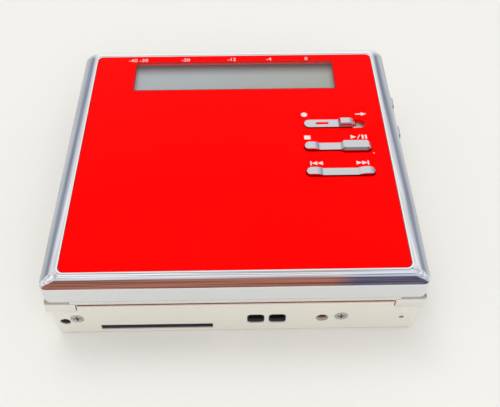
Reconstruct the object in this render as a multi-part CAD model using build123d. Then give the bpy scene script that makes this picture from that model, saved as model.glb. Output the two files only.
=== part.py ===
"""Portable minidisc recorder: a flat metal case with a hinged lid, a tilting disc holder and its drive.

Frame: +X to the right of the front panel, +Y away from the hinge towards the display, +Z up.
The origin is the middle of the base's flat underside. All lengths are millimetres.
"""

from build123d import *
import math
import os

# ---------------------------------------------------------------- fits
FIT = 0.05                 # gap round parts that drop into a recess
SEAM = 0.1                 # gap between fixed parts
GAP = 0.2                  # gap between parts that move past each other
SHAFT_RUN = 0.04           # running clearance round a shaft
SNUG = 0.02                # gap round pressed and glued parts
TIGHT = 0.01               # gap round rods and threads in their holes

# ---------------------------------------------------------------- disc bay
CASE_X = 72.0              # the disc's cartridge across the slot: it sets the lid's width
CASE_Y = 68.0              # the cartridge along its way in: it sets the lid's depth
CASE_Z = 5.0
SIDE_MARGIN = 3.5          # cartridge to the lid's outer face, left and right
HINGE_MARGIN = 5.8         # the same at the hinge end, where pins and arm pass behind the bay
MOUTH_MARGIN = 1.8         # the same at the end the cartridge goes in
BAY_FLOOR_Z = 9.4
BAY_CLEAR = 0.35
HOLDER_T = 0.4
HOLDER_LIP = 3.0
HOLDER_SET_BACK = 0.6      # the holder's mouth, in from the cartridge's outer edge
HOLDER_STOP = 2.6          # height of the back stop
HOLDER_WINDOW = (26.0, 20.0, -8.0, 16.0)     # length, width and place from the spindle
HOLDER_BREAK = 0.15
SPRING_LEAF = (34.0, 4.0, 0.15)
SPRING_CORNER = 1.0
SPRING_AT = (-13.0, -16.0)     # the leaf's middle from the spindle

# ---------------------------------------------------------------- lid shell
LID_WIDTH = CASE_X + 2 * SIDE_MARGIN
LID_DEPTH = CASE_Y + HINGE_MARGIN + MOUTH_MARGIN
CORNER_NEAR = 1.8          # plan corners at the hinge end
CORNER_FAR = 3.4           # plan corners at the display end
LID_WALL = 1.1
LID_EDGE_Z = 13.5          # lower edge of the lid's side walls
LID_TOP_T = 0.85           # the lid frame's top sheet
PANEL_TOP_Z = 19.2         # face of the coloured panel
PANEL_T = 1.0
PANEL_CORNER = 1.4
BEZEL_WIDTH = 3.55         # outer face to the panel's edge
BEZEL_LEDGE = 0.6          # flat lip round the panel
BEVEL_DROP = 1.1
BEZEL_LIP = 0.25           # straight foot under the bevel
BEZEL_SEAT = 0.8           # width of the seat the panel rests on
SEAT_CORNER = 1.0
BEVEL_TURN = 31.0          # degrees that the bevel's arc turns through
BEVEL_OVERRUN = 4.0        # degrees that the arc runs on past the wall before it is trimmed
BEZEL_REACH = BEZEL_WIDTH + 2 * BEZEL_SEAT   # how far in each bar goes before the seat is cut
MITRE_MARGIN = 1.0

# ---------------------------------------------------------------- base shell
BASE_INSET = 0.3           # the base is this much smaller than the lid, each side
COVER_T = 0.8
COVER_TOP_Z = 11.5
SIDE_ROUND = 1.8           # round under the left and right edges
END_ROUND = 0.9            # round under the hinge edge and the far edge
RIM_TOP_Z = 12.8
TONGUE_T = 0.4             # upstand behind the lid walls that closes the seam
TONGUE_H = 1.0
TONGUE_GAP = 0.15
TONGUE_BREAK = 3.6         # the tongue stops this far before the strike's hook
RIM_SIDE = 1.8
RIM_NEAR = 1.0
RIM_FAR = 1.1
SKIRT_T = 1.0
SKIRT_BOTTOM_Z = 8.8
SCREW_BOSS = (2.6, 1.6)    # boss for the left face screw: width, and depth under its middle

# ---------------------------------------------------------------- hinge
HINGE_INSET = 2.4          # the axis behind the lid's near face
HINGE_Z = 11.0
PIN_R = 0.5
EYE_R = 1.05
KNUCKLE_L = 6.6
KNUCKLE_PROUD = 0.4        # the knuckles stand out past the lid's sides
KNUCKLE_DEPTH = 4.0
KNUCKLE_Z = (9.35, 12.8)
KNUCKLE_ROUND = 1.6
KNUCKLE_CHAMFER = 0.6
KNUCKLE_GAP = 0.5          # between a knuckle and the lid's bracket
EAR_T = 1.2                # thickness of the brackets and the holder's ears
NECK_OFFSET = 0.3          # necks stay this far behind the hinge axis
NECK_T = 1.4

# ---------------------------------------------------------------- boards
BOARD_Z = 1.4
BOARD_T = 0.8
BOARD_SIDE = 1.2           # board's edges from the cover's inside
BOARD_NEAR = 0.5
BOARD_CORNER = 1.0
POST_R = 1.7
SCREW_HEAD_R = 1.42
SCREW_SHANK_R = 0.7
SCREW_HEAD_T = 0.85
SMALL_SHANK_R = 0.5
SMALL_HEAD_T = 0.45
HEAD_RIM = 0.1
CROSS = (1.7, 0.36, 0.4)   # cross recess: length, width, depth
NUT_R = 1.35
NUT_H = 0.95
CHIP_BREAK = 0.15
PROCESSOR = (12.0, 12.0, 1.0)      # chips: width, depth, height
SERVO_CHIP = (9.0, 9.0, 0.9)
CODEC_CHIP = (8.0, 10.0, 0.9)
AMPLIFIER = (8.0, 8.0, 0.9)
CRYSTAL = (3.2, 5.0, 0.8)
PROCESSOR_Y = 11.0         # from the spindle towards the hinge
SERVO_Y = 4.0              # from the spindle towards the battery
CODEC_Y = 12.2             # from the board's near edge
AMPLIFIER_Y = 14.2
CRYSTAL_INSET = (4.2, 4.6)  # from the board's left and far edges
CRYSTAL_OFFSET = 3.0       # from the processor's line towards the hinge

# ---------------------------------------------------------------- deck and drive
DECK_T = 0.6
DECK_Z = 8.2
DECK_SIDE = 1.3            # deck's edges from the cover's inside
DECK_CORNER = 2.0
DECK_OVERRUN = 0.4         # past the cartridge at the hinge end
DECK_WINDOW_GAP = 0.7      # round the lens's ring
DAMPER_R = 1.4
DAMPER_T = 0.8
DAMPER_BREAK = 0.2
DAMPER_INSET = 2.4         # damper's axis from the cover's inside
DAMPER_EAR_T = 0.8
DAMPER_EAR_REACH = 4.5     # the ears reach this far in from the cover's inside
DAMPER_EAR_HALF = 2.2
DAMPER_HEAD_T = 0.5
MOTOR_R = 9.0
MOTOR_FLANGE = (9.5, 0.4)
MOTOR_H = 4.0
MOTOR_BREAK = 0.4
SHAFT_R = 0.75
SHAFT_FOOT = 0.7           # the shaft's lower end above the motor's underside
TABLE_R = 7.8
TABLE_T = 0.6
TABLE_GAP = 0.15
TABLE_RIM_GAP = 0.4        # round the turntable, in the deck
TABLE_HOLE_R = 0.6
TABLE_HOLES = 6
CHUCK_R = 5.2
CHUCK_T = 0.4
CONE_R = 1.9
CONE_TIP_R = 1.1
CONE_H = 1.25
TRACK_X = 15.2             # lens axis at the innermost track
SLED_IN = 5.5
SLED_OUT = 7.0
SLED_CLEAR = 0.7           # the sled's outer end to the cover at the end of its travel
SLED_HALF_Y = 7.2
SLED_Z = (3.4, 8.0)
SLED_CORNER = 0.8
SLED_BREAK = 0.4
SLED_STEP = 0.45           # the shelf that the strap lies on, below the sled's top
SHELF = 2.2                # width of that shelf
ROD_Z = 5.2
ROD_R = 1.0
AUX_R = 0.75
ROD_START_X = 7.0
ROD_END = 0.2              # rods stand out past their tabs
ROD_OFFSET = 9.5           # main rod, from the spindle line towards the hinge
AUX_OFFSET = 9.8
SCREW_OFFSET = 14.0
LEAD_R = 0.9
LEAD_PITCH = 1.2
LEAD_RUN = 0.2             # the screw runs on past the lens's last track
LEAD_PIVOT_R = 0.4
LEAD_DEPTH = 0.2           # depth of the screw's grooves
LEAD_GROOVE = (0.4, 0.55, 0.85)    # where a groove starts, reaches its floor and leaves it, in pitches
LEAD_JOURNAL = 2.4
BUSH_R = 1.25
BUSH_L = 2.4
FORK = (1.2, 1.8, 1.4)     # from the lens line inwards and outwards, and past the auxiliary rod
FOLLOWER_BACK = 1.5        # the nut's back from the screw's axis
BUSH_STATIONS = (0.5, 8.3) # the bushes' inner ends, from the sled's inner end
TAB_T = 0.6
ROD_TAB = (1.3, 1.2)       # tab's half width, and its depth under the axis
LEAD_TAB = (1.2, 1.3)
DRIVE_MOTOR_R = 2.9
DRIVE_MOTOR_START_X = 0.5
DRIVE_MOTOR_CLEAR = 0.8    # the motor's end to the sled at its innermost
LENS_R = 1.6
LENS_RING_R = 2.3
LENS_BALL_R = 2.3
LENS_BALL_SINK = 1.75
LENS_DOME_H = 0.45
LENS_SEAT = 1.6            # depth of the ring's seat in the sled
LENS_PROUD = 0.2           # the ring's top above the deck
STRAP_T = 0.4
STRAP_OUT = (-6.0, -2.0)   # the strap's sides, from the lens axis
STRAP_Z = 7.6
STRAP_SET_BACK = 0.5       # the strap's back plate, inside the arm's eye
ARM_T = 0.45
ARM_Z = 15.05
ARM_NECK_OFFSET = 1.0
ARM_EYE_R = 0.75
ARM_PIN_R = 0.35
ARM_EAR_T = 0.5
ARM_TAPER = (9.0, 5.0, 3.2, 3.0)   # plan points of the blade, from the spindle line
ARM_TIP_RIM = 0.4
ARM_FLARE = 0.5            # the blade is this much wider where it bends
HEAD = (4.0, 4.5, 0.6)
HEAD_CORNER = 0.6
HEAD_BREAK = 0.2
HEAD_WINDOW_GAP = 0.6

# ---------------------------------------------------------------- battery bay
BATTERY_ENDS = 9.8         # what the bay's contacts and tray leave of the inside width
BATTERY_DEPTH = 17.0
BATTERY_H = 6.0
BATTERY_ROUND = 1.4
BATTERY_INSET = 1.8        # battery's pole from the cover's inside
BATTERY_FAR_GAP = 1.3
BATTERY_Z = 1.9
POLE_R = 1.6
POLE_H = 0.5
TRAY_T = 0.7
TRAY_END_GAP = 1.7         # room for the spring at the bay's end
TRAY_DOOR_GAP = 1.5
CONTACT_HALF = 5.0         # half length of a leaf contact
CONTACT_H = 3.0
CONTACT_FOOT = 0.6
CONTACT_T = 0.25
DOOR_OVERLAP = 2.8         # the door's hinge side, past the battery
DOOR_Y_LENGTH = 20.0
DOOR_Z = (1.9, 8.0)
DOOR_GAP = 0.15
DOOR_BARREL_R = 1.2
DOOR_GRIP = (2.0, 1.2, 0.25)
DOOR_BOSS_HALF = 1.3
TRUNNION_R = 0.35
TRUNNION_L = 0.7
TRUNNION_SOCKET = 0.9

# ---------------------------------------------------------------- hinge-side face
SLOT = (24.2, 1.75)
SLOT_INSET = 21.95         # slot's middle from the left side
SLOT_Z = 2.6
SLOT_WALL = 1.2
SOCKET_DEPTH = 5.0         # back of the slot's socket from the lid's near face
SOCKET_H = 2.2
SOCKET_BACK_T = 0.8
WINDOW = (3.7, 3.4)
WINDOW_ROUND = 0.9
WINDOW_X = (4.15, 8.78)
WELL = 1.5                 # half width of a contact well
WELL_DEPTH = 3.4
BLADE = (0.9, 1.6, 1.8)
BLADE_STEP = 0.75
BLADE_ROUND = 0.5
FACE_Z = 5.15
INSERT_INSET = 20.8        # insert from the right side
INSERT_HOLE_R = 1.3
INSERT_R = 1.9
INSERT_BORE_R = 0.8
INSERT_L = 3.0
INSERT_END_WALL = 0.4
BLOCK_START_X = 1.0
BLOCK_DEPTH = 4.8          # back of the socket block from the lid's near face
BLOCK_END = 2.1            # past the right face screw
BLOCK_TOP_GAP = 0.4
LOCATING_HOLE = (2.6, 5.2, 1.1)    # from the left side, height, radius
SMALL_HOLE = (3.7, 4.95, 0.55)     # from the right side, height, radius
LEFT_SCREW = (5.3, 6.3)            # from the left side, height
RIGHT_SCREW = (4.1, 5.7)           # from the insert, height
FACE_SCREW_L = 3.2

# ---------------------------------------------------------------- jacks
JACK_FROM_NEAR = {"phones_jack": 20.2, "mic_jack": 13.3, "line_jack": 6.5}
JACK_BORE_R = 1.8
JACK_NOSE_R = 2.5
JACK_BODY = (12.2, 6.4, 5.1)
JACK_BREAK = 0.5
JACK_END_WALL = 0.6

# ---------------------------------------------------------------- panel and keys
DISPLAY_SIDE = 10.15       # display opening from the panel's left and right edges
DISPLAY_DEPTH = 11.2
DISPLAY_INSET = 7.95       # display's middle from the panel's far edge
PANE_T = 0.9
PANE_BREAK = 0.1
LCD_MARGIN = (1.2, 0.6)    # the glass goes on under the panel this far each way
LCD_T = 1.0
LCD_WALL = 0.75
LCD_SIGHT = 0.6            # frame that shows inside the opening
LCD_LIP_T = 0.2
KEY_INSET = 11.85          # the keys' middle from the panel's right edge
REC_FROM_DISPLAY = 18.55
REC_PITCH = 7.8
KEY_PITCH = 8.05
KEY_BAY_HALF = 10.3
KEY_BAY_ENDS = (4.1, 3.45) # the bay, past the skip key and past the record slider
KEY_FLANGE_Z = 17.3
KEY_FLANGE_T = 0.4
KEY_FLANGE = 0.6           # how far a key's flange reaches under the panel
KEY_GAP = 0.25
SKIP_KEY = (15.5, 2.1)
PLAY_BAR = (15.4, 2.2)
PLAY_PAD = (6.9, 3.2)
PAD_ROUND = 0.6            # share of the pad's half width that its corners take
PAD_BREAK = 0.45
HUMP_L = 3.8
PLAY_HUMP_L = 3.6
HUMP_FOOT = 0.15
KEY_MID_Z = 19.5
KEY_END_Z = 20.0
PAD_TOP_Z = 20.25
PLUNGER_X = 6.0
PLUNGER_R = 0.7
PRESS = 0.25
FRAME_GAP = 0.15
RIB = (0.6, 2.4)
REC_SLOT = (15.0, 2.9)
REC_TRAVEL = 2.4
REC_PLATE = (REC_SLOT[0] - REC_TRAVEL - 2 * GAP, 2.5)
REC_PLATE_Z = 19.45
REC_KNOB = (4.0, 2.1)
REC_KNOB_Z = (20.4, 19.9)
REC_KNOB_STEPS = (0.1, 0.5, 1.3, 0.5)   # end, slope's foot and top, and the inner slope
REC_KNOB_BREAK = 0.2
REC_FLANGE_Z = (17.55, 17.95)
REC_FLANGE = (0.6, 0.5)
REC_MARK = (3.0, 0.75, 0.3)
REC_MARK_X = 4.55          # mark's middle from the slot's end
TRACK_FRAME = (19.0, 5.6)
TRACK_CORNER = 0.5
BOARD_UNDER_DISPLAY = 8.5

# ---------------------------------------------------------------- lid inside
PLATE_T = 0.25
PLATE_Z = 15.7
PLATE_NEAR_GAP = 0.6
PLATE_SKIRT_GAP = 0.5
LID_BOARD_T = 0.6
DOME_R = 1.6
DOME_H = 0.22
LID_SCREW_SIDE = 2.0       # lid screws from the lid's inside
LID_SCREW_NEAR = 9.8
LID_SCREW_FAR = 6.8
LID_SCREW = (1.2, 0.4, 1.2)    # head radius, head thickness, shank length
BOSS_R = 1.3
KNOB_Y = -3.7
KNOB = (1.6, 7.6, 2.2)
KNOB_PROUD = 0.05
KNOB_CORNER = 0.7
KNOB_BREAK = 0.35
KNOB_RIBS = 5
KNOB_RIB = (0.5, 0.25, 1.1)    # groove width, depth and pitch
KNOB_Z = 12.0
KNOB_TRAVEL = 2.5
KNOB_SLOT_H = 0.7
KNOB_NECK = 2.0            # the neck, in from the knob's ends
HOOK_T = 0.7
HOOK_END = 0.7             # the hook plate, in from the knob's ends
HOOK_BACK = 2.6            # back of the hook's upright, from the knob's middle
HOOK_W = 2.0
HOOK_REACH = 3.1
HOOK_NOSE = (1.0, 1.4, 1.9, 1.6)   # heights of the nose's corners above the plate
STRIKE_L = 3.0
STRIKE_EYE = (0.8, 2.2, 0.8, 1.8)  # the strike's window, along and up
SIDE_BUTTON_FROM_FAR = {"mode_button": 19.3, "edit_button": 29.8}
SIDE_BUTTON = (4.4, 2.2)
SIDE_BUTTON_Z = 15.5
SIDE_BUTTON_OUT = 1.0
SIDE_BUTTON_ROUND = 0.35
SIDE_BUTTON_FLANGE = (0.25, 0.4)    # overlap and thickness
SIDE_BUTTON_TRAVEL = 0.5
SIDE_SWITCH_T = 0.6
SIDE_SWITCH_HALF = 1.6
SIDE_SWITCH_Z = (-0.2, 1.2)
SIDE_SWITCH_ROUND = 0.2

# ---------------------------------------------------------------- worked out from the above
LID_X, LID_Y = LID_WIDTH / 2, LID_DEPTH / 2
LID_IN_X, LID_IN_Y = LID_X - LID_WALL, LID_Y - LID_WALL
BASE_X, BASE_Y = LID_X - BASE_INSET, LID_Y - BASE_INSET
IN_X, IN_Y = BASE_X - COVER_T, BASE_Y - COVER_T
PANEL_X, PANEL_Y = LID_X - BEZEL_WIDTH, LID_Y - BEZEL_WIDTH
PANEL_BOTTOM_Z = PANEL_TOP_Z - PANEL_T
BEVEL_FOOT_Z = PANEL_TOP_Z - BEVEL_DROP
BEZEL_BOTTOM_Z = BEVEL_FOOT_Z - BEZEL_LIP
LID_SHEET_Z = BEZEL_BOTTOM_Z - LID_TOP_T
PLATEAU_Z = PANEL_BOTTOM_Z - FIT
SKIRT_OUT = IN_X - SEAM
SKIRT_IN = SKIRT_OUT - SKIRT_T

HINGE_Y = -LID_Y + HINGE_INSET
KNUCKLE_X = (LID_X + KNUCKLE_PROUD - KNUCKLE_L, LID_X + KNUCKLE_PROUD)
KNUCKLE_Y = (-BASE_Y - GAP, -BASE_Y - GAP + KNUCKLE_DEPTH)
BRACKET_X = KNUCKLE_X[0] - KNUCKLE_GAP - EAR_T
EAR_X = BRACKET_X - GAP - EAR_T

BAY_NEAR_Y = -LID_Y + HINGE_MARGIN
SPINDLE_Y = BAY_NEAR_Y + CASE_Y / 2
CASE_TOP_Z = BAY_FLOOR_Z + CASE_Z + 2 * FIT
HOLDER_X = CASE_X / 2 + BAY_CLEAR + HOLDER_T
HOLDER_BACK_Y = BAY_NEAR_Y - BAY_CLEAR - HOLDER_T
HOLDER_MOUTH_Y = BAY_NEAR_Y + CASE_Y - HOLDER_SET_BACK

BATTERY = (2 * IN_X - BATTERY_ENDS, BATTERY_DEPTH, BATTERY_H)
BATTERY_X = -IN_X + BATTERY_INSET
BATTERY_Y = IN_Y - BATTERY_FAR_GAP - BATTERY_DEPTH
BATTERY_MID_Y = BATTERY_Y + BATTERY_DEPTH / 2
BATTERY_END_X = BATTERY_X + BATTERY[0]
DOOR_Y = (BATTERY_Y - DOOR_OVERLAP, BATTERY_Y - DOOR_OVERLAP + DOOR_Y_LENGTH)
DOOR_AXIS = (-BASE_X + DOOR_BARREL_R, DOOR_Y[0] + DOOR_GAP + DOOR_BARREL_R)

BOARD_TOP_Z = BOARD_Z + BOARD_T
BOARD_HALF_X = IN_X - BOARD_SIDE
BOARD_NEAR_Y = -IN_Y + BOARD_NEAR
BOARD_FAR_Y = BATTERY_Y - DOOR_OVERLAP + BOARD_CORNER
PROCESSOR_X = -BOARD_HALF_X + 15.2
CODEC_X = -BOARD_HALF_X + 24.2
AMPLIFIER_X = BOARD_HALF_X - 20.2
POSTS = (
    (-IN_X + 4.4, -IN_Y + 6.7),
    (IN_X - 5.4, SPINDLE_Y - 11.9),
    (-IN_X + 4.4, BOARD_FAR_Y - 3.8),
    (IN_X - 5.4, BOARD_FAR_Y - 3.2),
)
SOCKET_BACK_Y = -LID_Y + SOCKET_DEPTH
BLOCK_BACK_Y = -LID_Y + BLOCK_DEPTH
WELL_BACK_Y = -LID_Y + WELL_DEPTH
SLOT_AT = (-BASE_X + SLOT_INSET, SLOT_Z)
INSERT_X = BASE_X - INSERT_INSET
FACE_SCREWS = ((-BASE_X + LEFT_SCREW[0], LEFT_SCREW[1]), (INSERT_X + RIGHT_SCREW[0], RIGHT_SCREW[1]))
FACE_PLATE_Y = -IN_Y + SEAM
JACK_Y = {name: -BASE_Y + distance for name, distance in JACK_FROM_NEAR.items()}
JACK_Z = BOARD_TOP_Z + JACK_BODY[2] / 2

DECK_TOP_Z = DECK_Z + DECK_T
DECK_HALF_X = IN_X - DECK_SIDE
DECK_NEAR_Y = BAY_NEAR_Y - DECK_OVERRUN
DECK_FAR_Y = BAY_NEAR_Y + CASE_Y
DAMPER_X = IN_X - DAMPER_INSET
DAMPER_EAR_X = IN_X - DAMPER_EAR_REACH
DAMPER_EAR_TOP = DECK_Z - DAMPER_T
DAMPERS = (
    (-DAMPER_X, SPINDLE_Y + 6.6),
    (-DAMPER_X, BAY_NEAR_Y + 8.0),
    (DAMPER_X, SPINDLE_Y + 18.4),
    (DAMPER_X, SPINDLE_Y - 13.3),
)
SLED_TRAVEL = IN_X - SLED_CLEAR - SLED_OUT - TRACK_X
SLED_Y = (SPINDLE_Y - SLED_HALF_Y, SPINDLE_Y + SLED_HALF_Y)
DRIVE_MOTOR_X = (DRIVE_MOTOR_START_X, TRACK_X - SLED_IN - DRIVE_MOTOR_CLEAR)
ROD_X = (ROD_START_X, DECK_HALF_X - ROD_END)
ROD_Y = SPINDLE_Y - ROD_OFFSET
AUX_Y = SPINDLE_Y + AUX_OFFSET
LEAD_Y = SPINDLE_Y - SCREW_OFFSET
LEAD_END_X = TRACK_X + SLED_TRAVEL + LEAD_RUN
STRAP_X = (TRACK_X + STRAP_OUT[0], TRACK_X + STRAP_OUT[1])
STRAP_BACK_Y = HINGE_Y + ARM_EYE_R + STRAP_SET_BACK

LID_BOARD_Z = PLATE_Z + PLATE_T + FIT
LID_BOARD_TOP_Z = LID_BOARD_Z + LID_BOARD_T
DISPLAY = (2 * (PANEL_X - DISPLAY_SIDE), DISPLAY_DEPTH)
DISPLAY_Y = PANEL_Y - DISPLAY_INSET
LCD = (DISPLAY[0] + 2 * LCD_MARGIN[0], DISPLAY[1] + 2 * LCD_MARGIN[1], LCD_T)
LCD_FRAME_X = LCD[0] / 2 + LCD_WALL
LCD_FRAME_Y = LCD[1] / 2 + LCD_WALL
KEY_X = PANEL_X - KEY_INSET
REC_Y = DISPLAY_Y - REC_FROM_DISPLAY
PLAY_Y = REC_Y - REC_PITCH
SKIP_Y = PLAY_Y - KEY_PITCH
KEY_BAY_X = (KEY_X - KEY_BAY_HALF, KEY_X + KEY_BAY_HALF)
KEY_BAY_Y = (SKIP_Y - KEY_BAY_ENDS[0], REC_Y + KEY_BAY_ENDS[1])
KEY_FLANGE_TOP = KEY_FLANGE_Z + KEY_FLANGE_T
TRACK_TOP_Z = REC_FLANGE_Z[0] - SEAM
LID_SCREW_X = LID_IN_X - LID_SCREW_SIDE
LID_SCREWS = tuple(
    (side * LID_SCREW_X, y) for y in (-LID_Y + LID_SCREW_NEAR, LID_Y - LID_SCREW_FAR) for side in (-1, 1)
)
SIDE_BUTTON_Y = {name: LID_Y - distance for name, distance in SIDE_BUTTON_FROM_FAR.items()}
SIDE_SWITCH_FACE = LID_IN_X - sum(SIDE_BUTTON_FLANGE) - SIDE_BUTTON_TRAVEL - FRAME_GAP
SIDE_SWITCH_X = (SIDE_SWITCH_FACE - SIDE_SWITCH_T, SIDE_SWITCH_FACE)
KNOB_FACE_X = LID_X + KNOB_PROUD


STANDING = (Align.CENTER, Align.CENTER, Align.MIN)


# ================================================================= small helpers

def block(x0, x1, y0, y1, z0, z1):
    """A box between two corners."""
    size = Box(abs(x1 - x0), abs(y1 - y0), abs(z1 - z0))
    return Pos((x0 + x1) / 2, (y0 + y1) / 2, (z0 + z1) / 2) * size


def side_block(side, x0, x1, y0, y1, z0, z1):
    """A box given for the right-hand side, or its mirror image on the left."""
    return block(side * x0, side * x1, y0, y1, z0, z1)


def plan(half_x, half_y, near, far):
    """A rectangle with its own corner radius at each end in Y."""
    outline = Rectangle(2 * half_x, 2 * half_y)
    rows = outline.vertices().group_by(Axis.Y)
    outline = fillet(rows[0], near)
    return fillet(outline.vertices().group_by(Axis.Y)[-1], far)


def slab(half_x, half_y, near, far, z0, z1):
    """A flat prism on the plan outline."""
    return Pos(0, 0, z0) * extrude(plan(half_x, half_y, near, far), z1 - z0)


def rod(radius, start, end):
    """A round bar between two points."""
    a, b = Vector(*start), Vector(*end)
    return extrude(Plane(origin=a, z_dir=b - a) * Circle(radius), (b - a).length)


def disc(radius, x, y, z0, z1):
    """An upright round bar."""
    return Pos(x, y, z0) * extrude(Circle(radius), z1 - z0)


def stadium(length, width, x, y, z0, z1):
    """A prism along X with half-round ends."""
    return Pos(x, y, z0) * extrude(SlotOverall(length, width), z1 - z0)


def xz_prism(points, y0, y1):
    """A prism along Y with a straight-sided outline in the XZ plane."""
    face = make_face(Polyline(*[(x, 0, z) for x, z in points], close=True))
    return Pos(0, y0, 0) * extrude(face, y1 - y0, dir=(0, 1, 0))


def yz_prism(points, x0, x1):
    """A prism along X with a straight-sided outline in the YZ plane."""
    face = make_face(Polyline(*[(0, y, z) for y, z in points], close=True))
    return Pos(x0, 0, 0) * extrude(face, x1 - x0, dir=(1, 0, 0))


def face_cut(shape, x, z, depth=COVER_T):
    """A sketch pushed through the hinge-side wall at x, z."""
    plane = Plane(origin=(x, -BASE_Y - 1, z), x_dir=(1, 0, 0), z_dir=(0, 1, 0))
    return extrude(plane * shape, depth + 1)


def cross_recess(top):
    """The cross recess of a screw whose head faces +Z at the height top."""
    length, width, depth = CROSS
    bar = Box(length, width, depth)
    return Pos(0, 0, top - depth / 2) * (bar + Rot(0, 0, 90) * bar)


def countersink(head_r, head_t, shank_r):
    """A screw head's own form: a thin rim over a cone, top at z=0."""
    cone = Cone(shank_r, head_r, head_t - HEAD_RIM, align=(Align.CENTER, Align.CENTER, Align.MAX))
    return Pos(0, 0, -HEAD_RIM) * cone + disc(head_r, 0, 0, -HEAD_RIM, 0)


def screw(head_r, head_t, shank_r, length):
    """A countersunk cross-head screw: head up at z=0, shank down."""
    shank = disc(shank_r, 0, 0, -length, -head_t / 2)
    return countersink(head_r, head_t, shank_r) + shank - cross_recess(0)


# ================================================================= base shell

def tray(half_x, half_y, shrink, z0, z1):
    """Flat bottom with rounds under all four edges and straight walls; shrink thins its radii."""
    height = z1 - z0
    level = z0 + height / 2
    outline = slab(half_x, half_y, CORNER_NEAR - shrink, CORNER_FAR - shrink, z0, z1)
    along = extrude(Plane.XZ * Pos(0, level) * Rectangle(2 * half_x, height), half_y + 1, both=True)
    along = fillet(along.edges().filter_by(Axis.Y).group_by(Axis.Z)[0], SIDE_ROUND - shrink)
    across = extrude(Plane.YZ * Pos(0, level) * Rectangle(2 * half_y, height), half_x + 1, both=True)
    across = fillet(across.edges().filter_by(Axis.X).group_by(Axis.Z)[0], END_ROUND - shrink)
    return outline & along & across


def knuckle_notch(side):
    """What the cover's wall loses to clear a knuckle, with the knuckle's chamfered foot."""
    x, z = KNUCKLE_X[0] - DOOR_GAP, KNUCKLE_Z[0] - DOOR_GAP
    out, top = LID_X + 2, RIM_TOP_Z + 1
    foot = [(x, z + KNUCKLE_CHAMFER), (x + KNUCKLE_CHAMFER, z), (out, z), (out, top), (x, top)]
    notch = xz_prism(foot, -LID_Y - 1, KNUCKLE_Y[1] + DOOR_GAP)
    return notch if side > 0 else mirror(notch, Plane.YZ)


def bottom_cover():
    """Drawn metal tray with the sockets, slots and screws of the hinge-side face."""
    made = tray(BASE_X, BASE_Y, 0, 0, COVER_TOP_Z)
    made -= tray(IN_X, IN_Y, COVER_T - SEAM, COVER_T, COVER_TOP_Z + 1)
    for side in (-1, 1):
        made -= knuckle_notch(side)
    made -= block(-BASE_X - 1, -IN_X + TIGHT, *DOOR_Y, *DOOR_Z)
    made -= face_cut(Rectangle(*SLOT), *SLOT_AT)
    for x in WINDOW_X:
        made -= face_cut(RectangleRounded(*WINDOW, WINDOW_ROUND), x, FACE_Z)
    made -= face_cut(Circle(INSERT_HOLE_R), INSERT_X, FACE_Z)
    for side, (inset, z, radius) in ((-1, LOCATING_HOLE), (1, SMALL_HOLE)):
        made -= face_cut(Circle(radius), side * (BASE_X - inset), z)
    for x, z in FACE_SCREWS:
        made -= face_cut(Circle(SCREW_HEAD_R + FIT), x, z)
    for y in JACK_Y.values():
        made -= rod(JACK_NOSE_R + SEAM, (IN_X - 0.5, y, JACK_Z), (BASE_X + 1, y, JACK_Z))
    for x, y in POSTS:
        made += disc(POST_R, x, y, COVER_T - FIT, BOARD_Z)
        made -= disc(SMALL_SHANK_R + SEAM, x, y, -1, BOARD_Z + 1)
        sink = countersink(SCREW_HEAD_R + FIT, SMALL_HEAD_T + FIT, SMALL_SHANK_R)
        made -= Pos(x, y, 0) * Rot(180, 0, 0) * sink
    boss = disc(DOOR_BARREL_R - SEAM, *DOOR_AXIS, COVER_T - FIT, DOOR_Z[0] - SEAM)
    made += boss & tray(IN_X, IN_Y, COVER_T - SEAM, 0, COVER_TOP_Z)
    foot = DOOR_Z[0] - TRUNNION_SOCKET + SEAM
    return made - disc(TRUNNION_R + SHAFT_RUN, *DOOR_AXIS, foot, DOOR_Z[1])


def knuckle(side):
    """A fixed hinge knuckle: a round-topped block with a chamfered inner foot, bored for the pin."""
    (x0, x1), (y0, y1), (z0, z1) = KNUCKLE_X, KNUCKLE_Y, KNUCKLE_Z
    made = block(x0, x1, y0, y1, z0, z1)
    made = fillet(made.edges().filter_by(Axis.X).sort_by(lambda e: e.center().Z - e.center().Y)[-1],
                  KNUCKLE_ROUND)
    made = fillet(made.edges().filter_by(Axis.Z).sort_by(lambda e: e.center().X - e.center().Y)[-1],
                  KNUCKLE_CHAMFER)
    made -= xz_prism([(x0, z0), (x0 + KNUCKLE_CHAMFER, z0), (x0, z0 + KNUCKLE_CHAMFER)], y0 - 1, y1 + 1)
    made -= rod(PIN_R, (x0 - 1, HINGE_Y, HINGE_Z), (x1 - EAR_T, HINGE_Y, HINGE_Z))
    return made if side > 0 else mirror(made, Plane.YZ)


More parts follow.
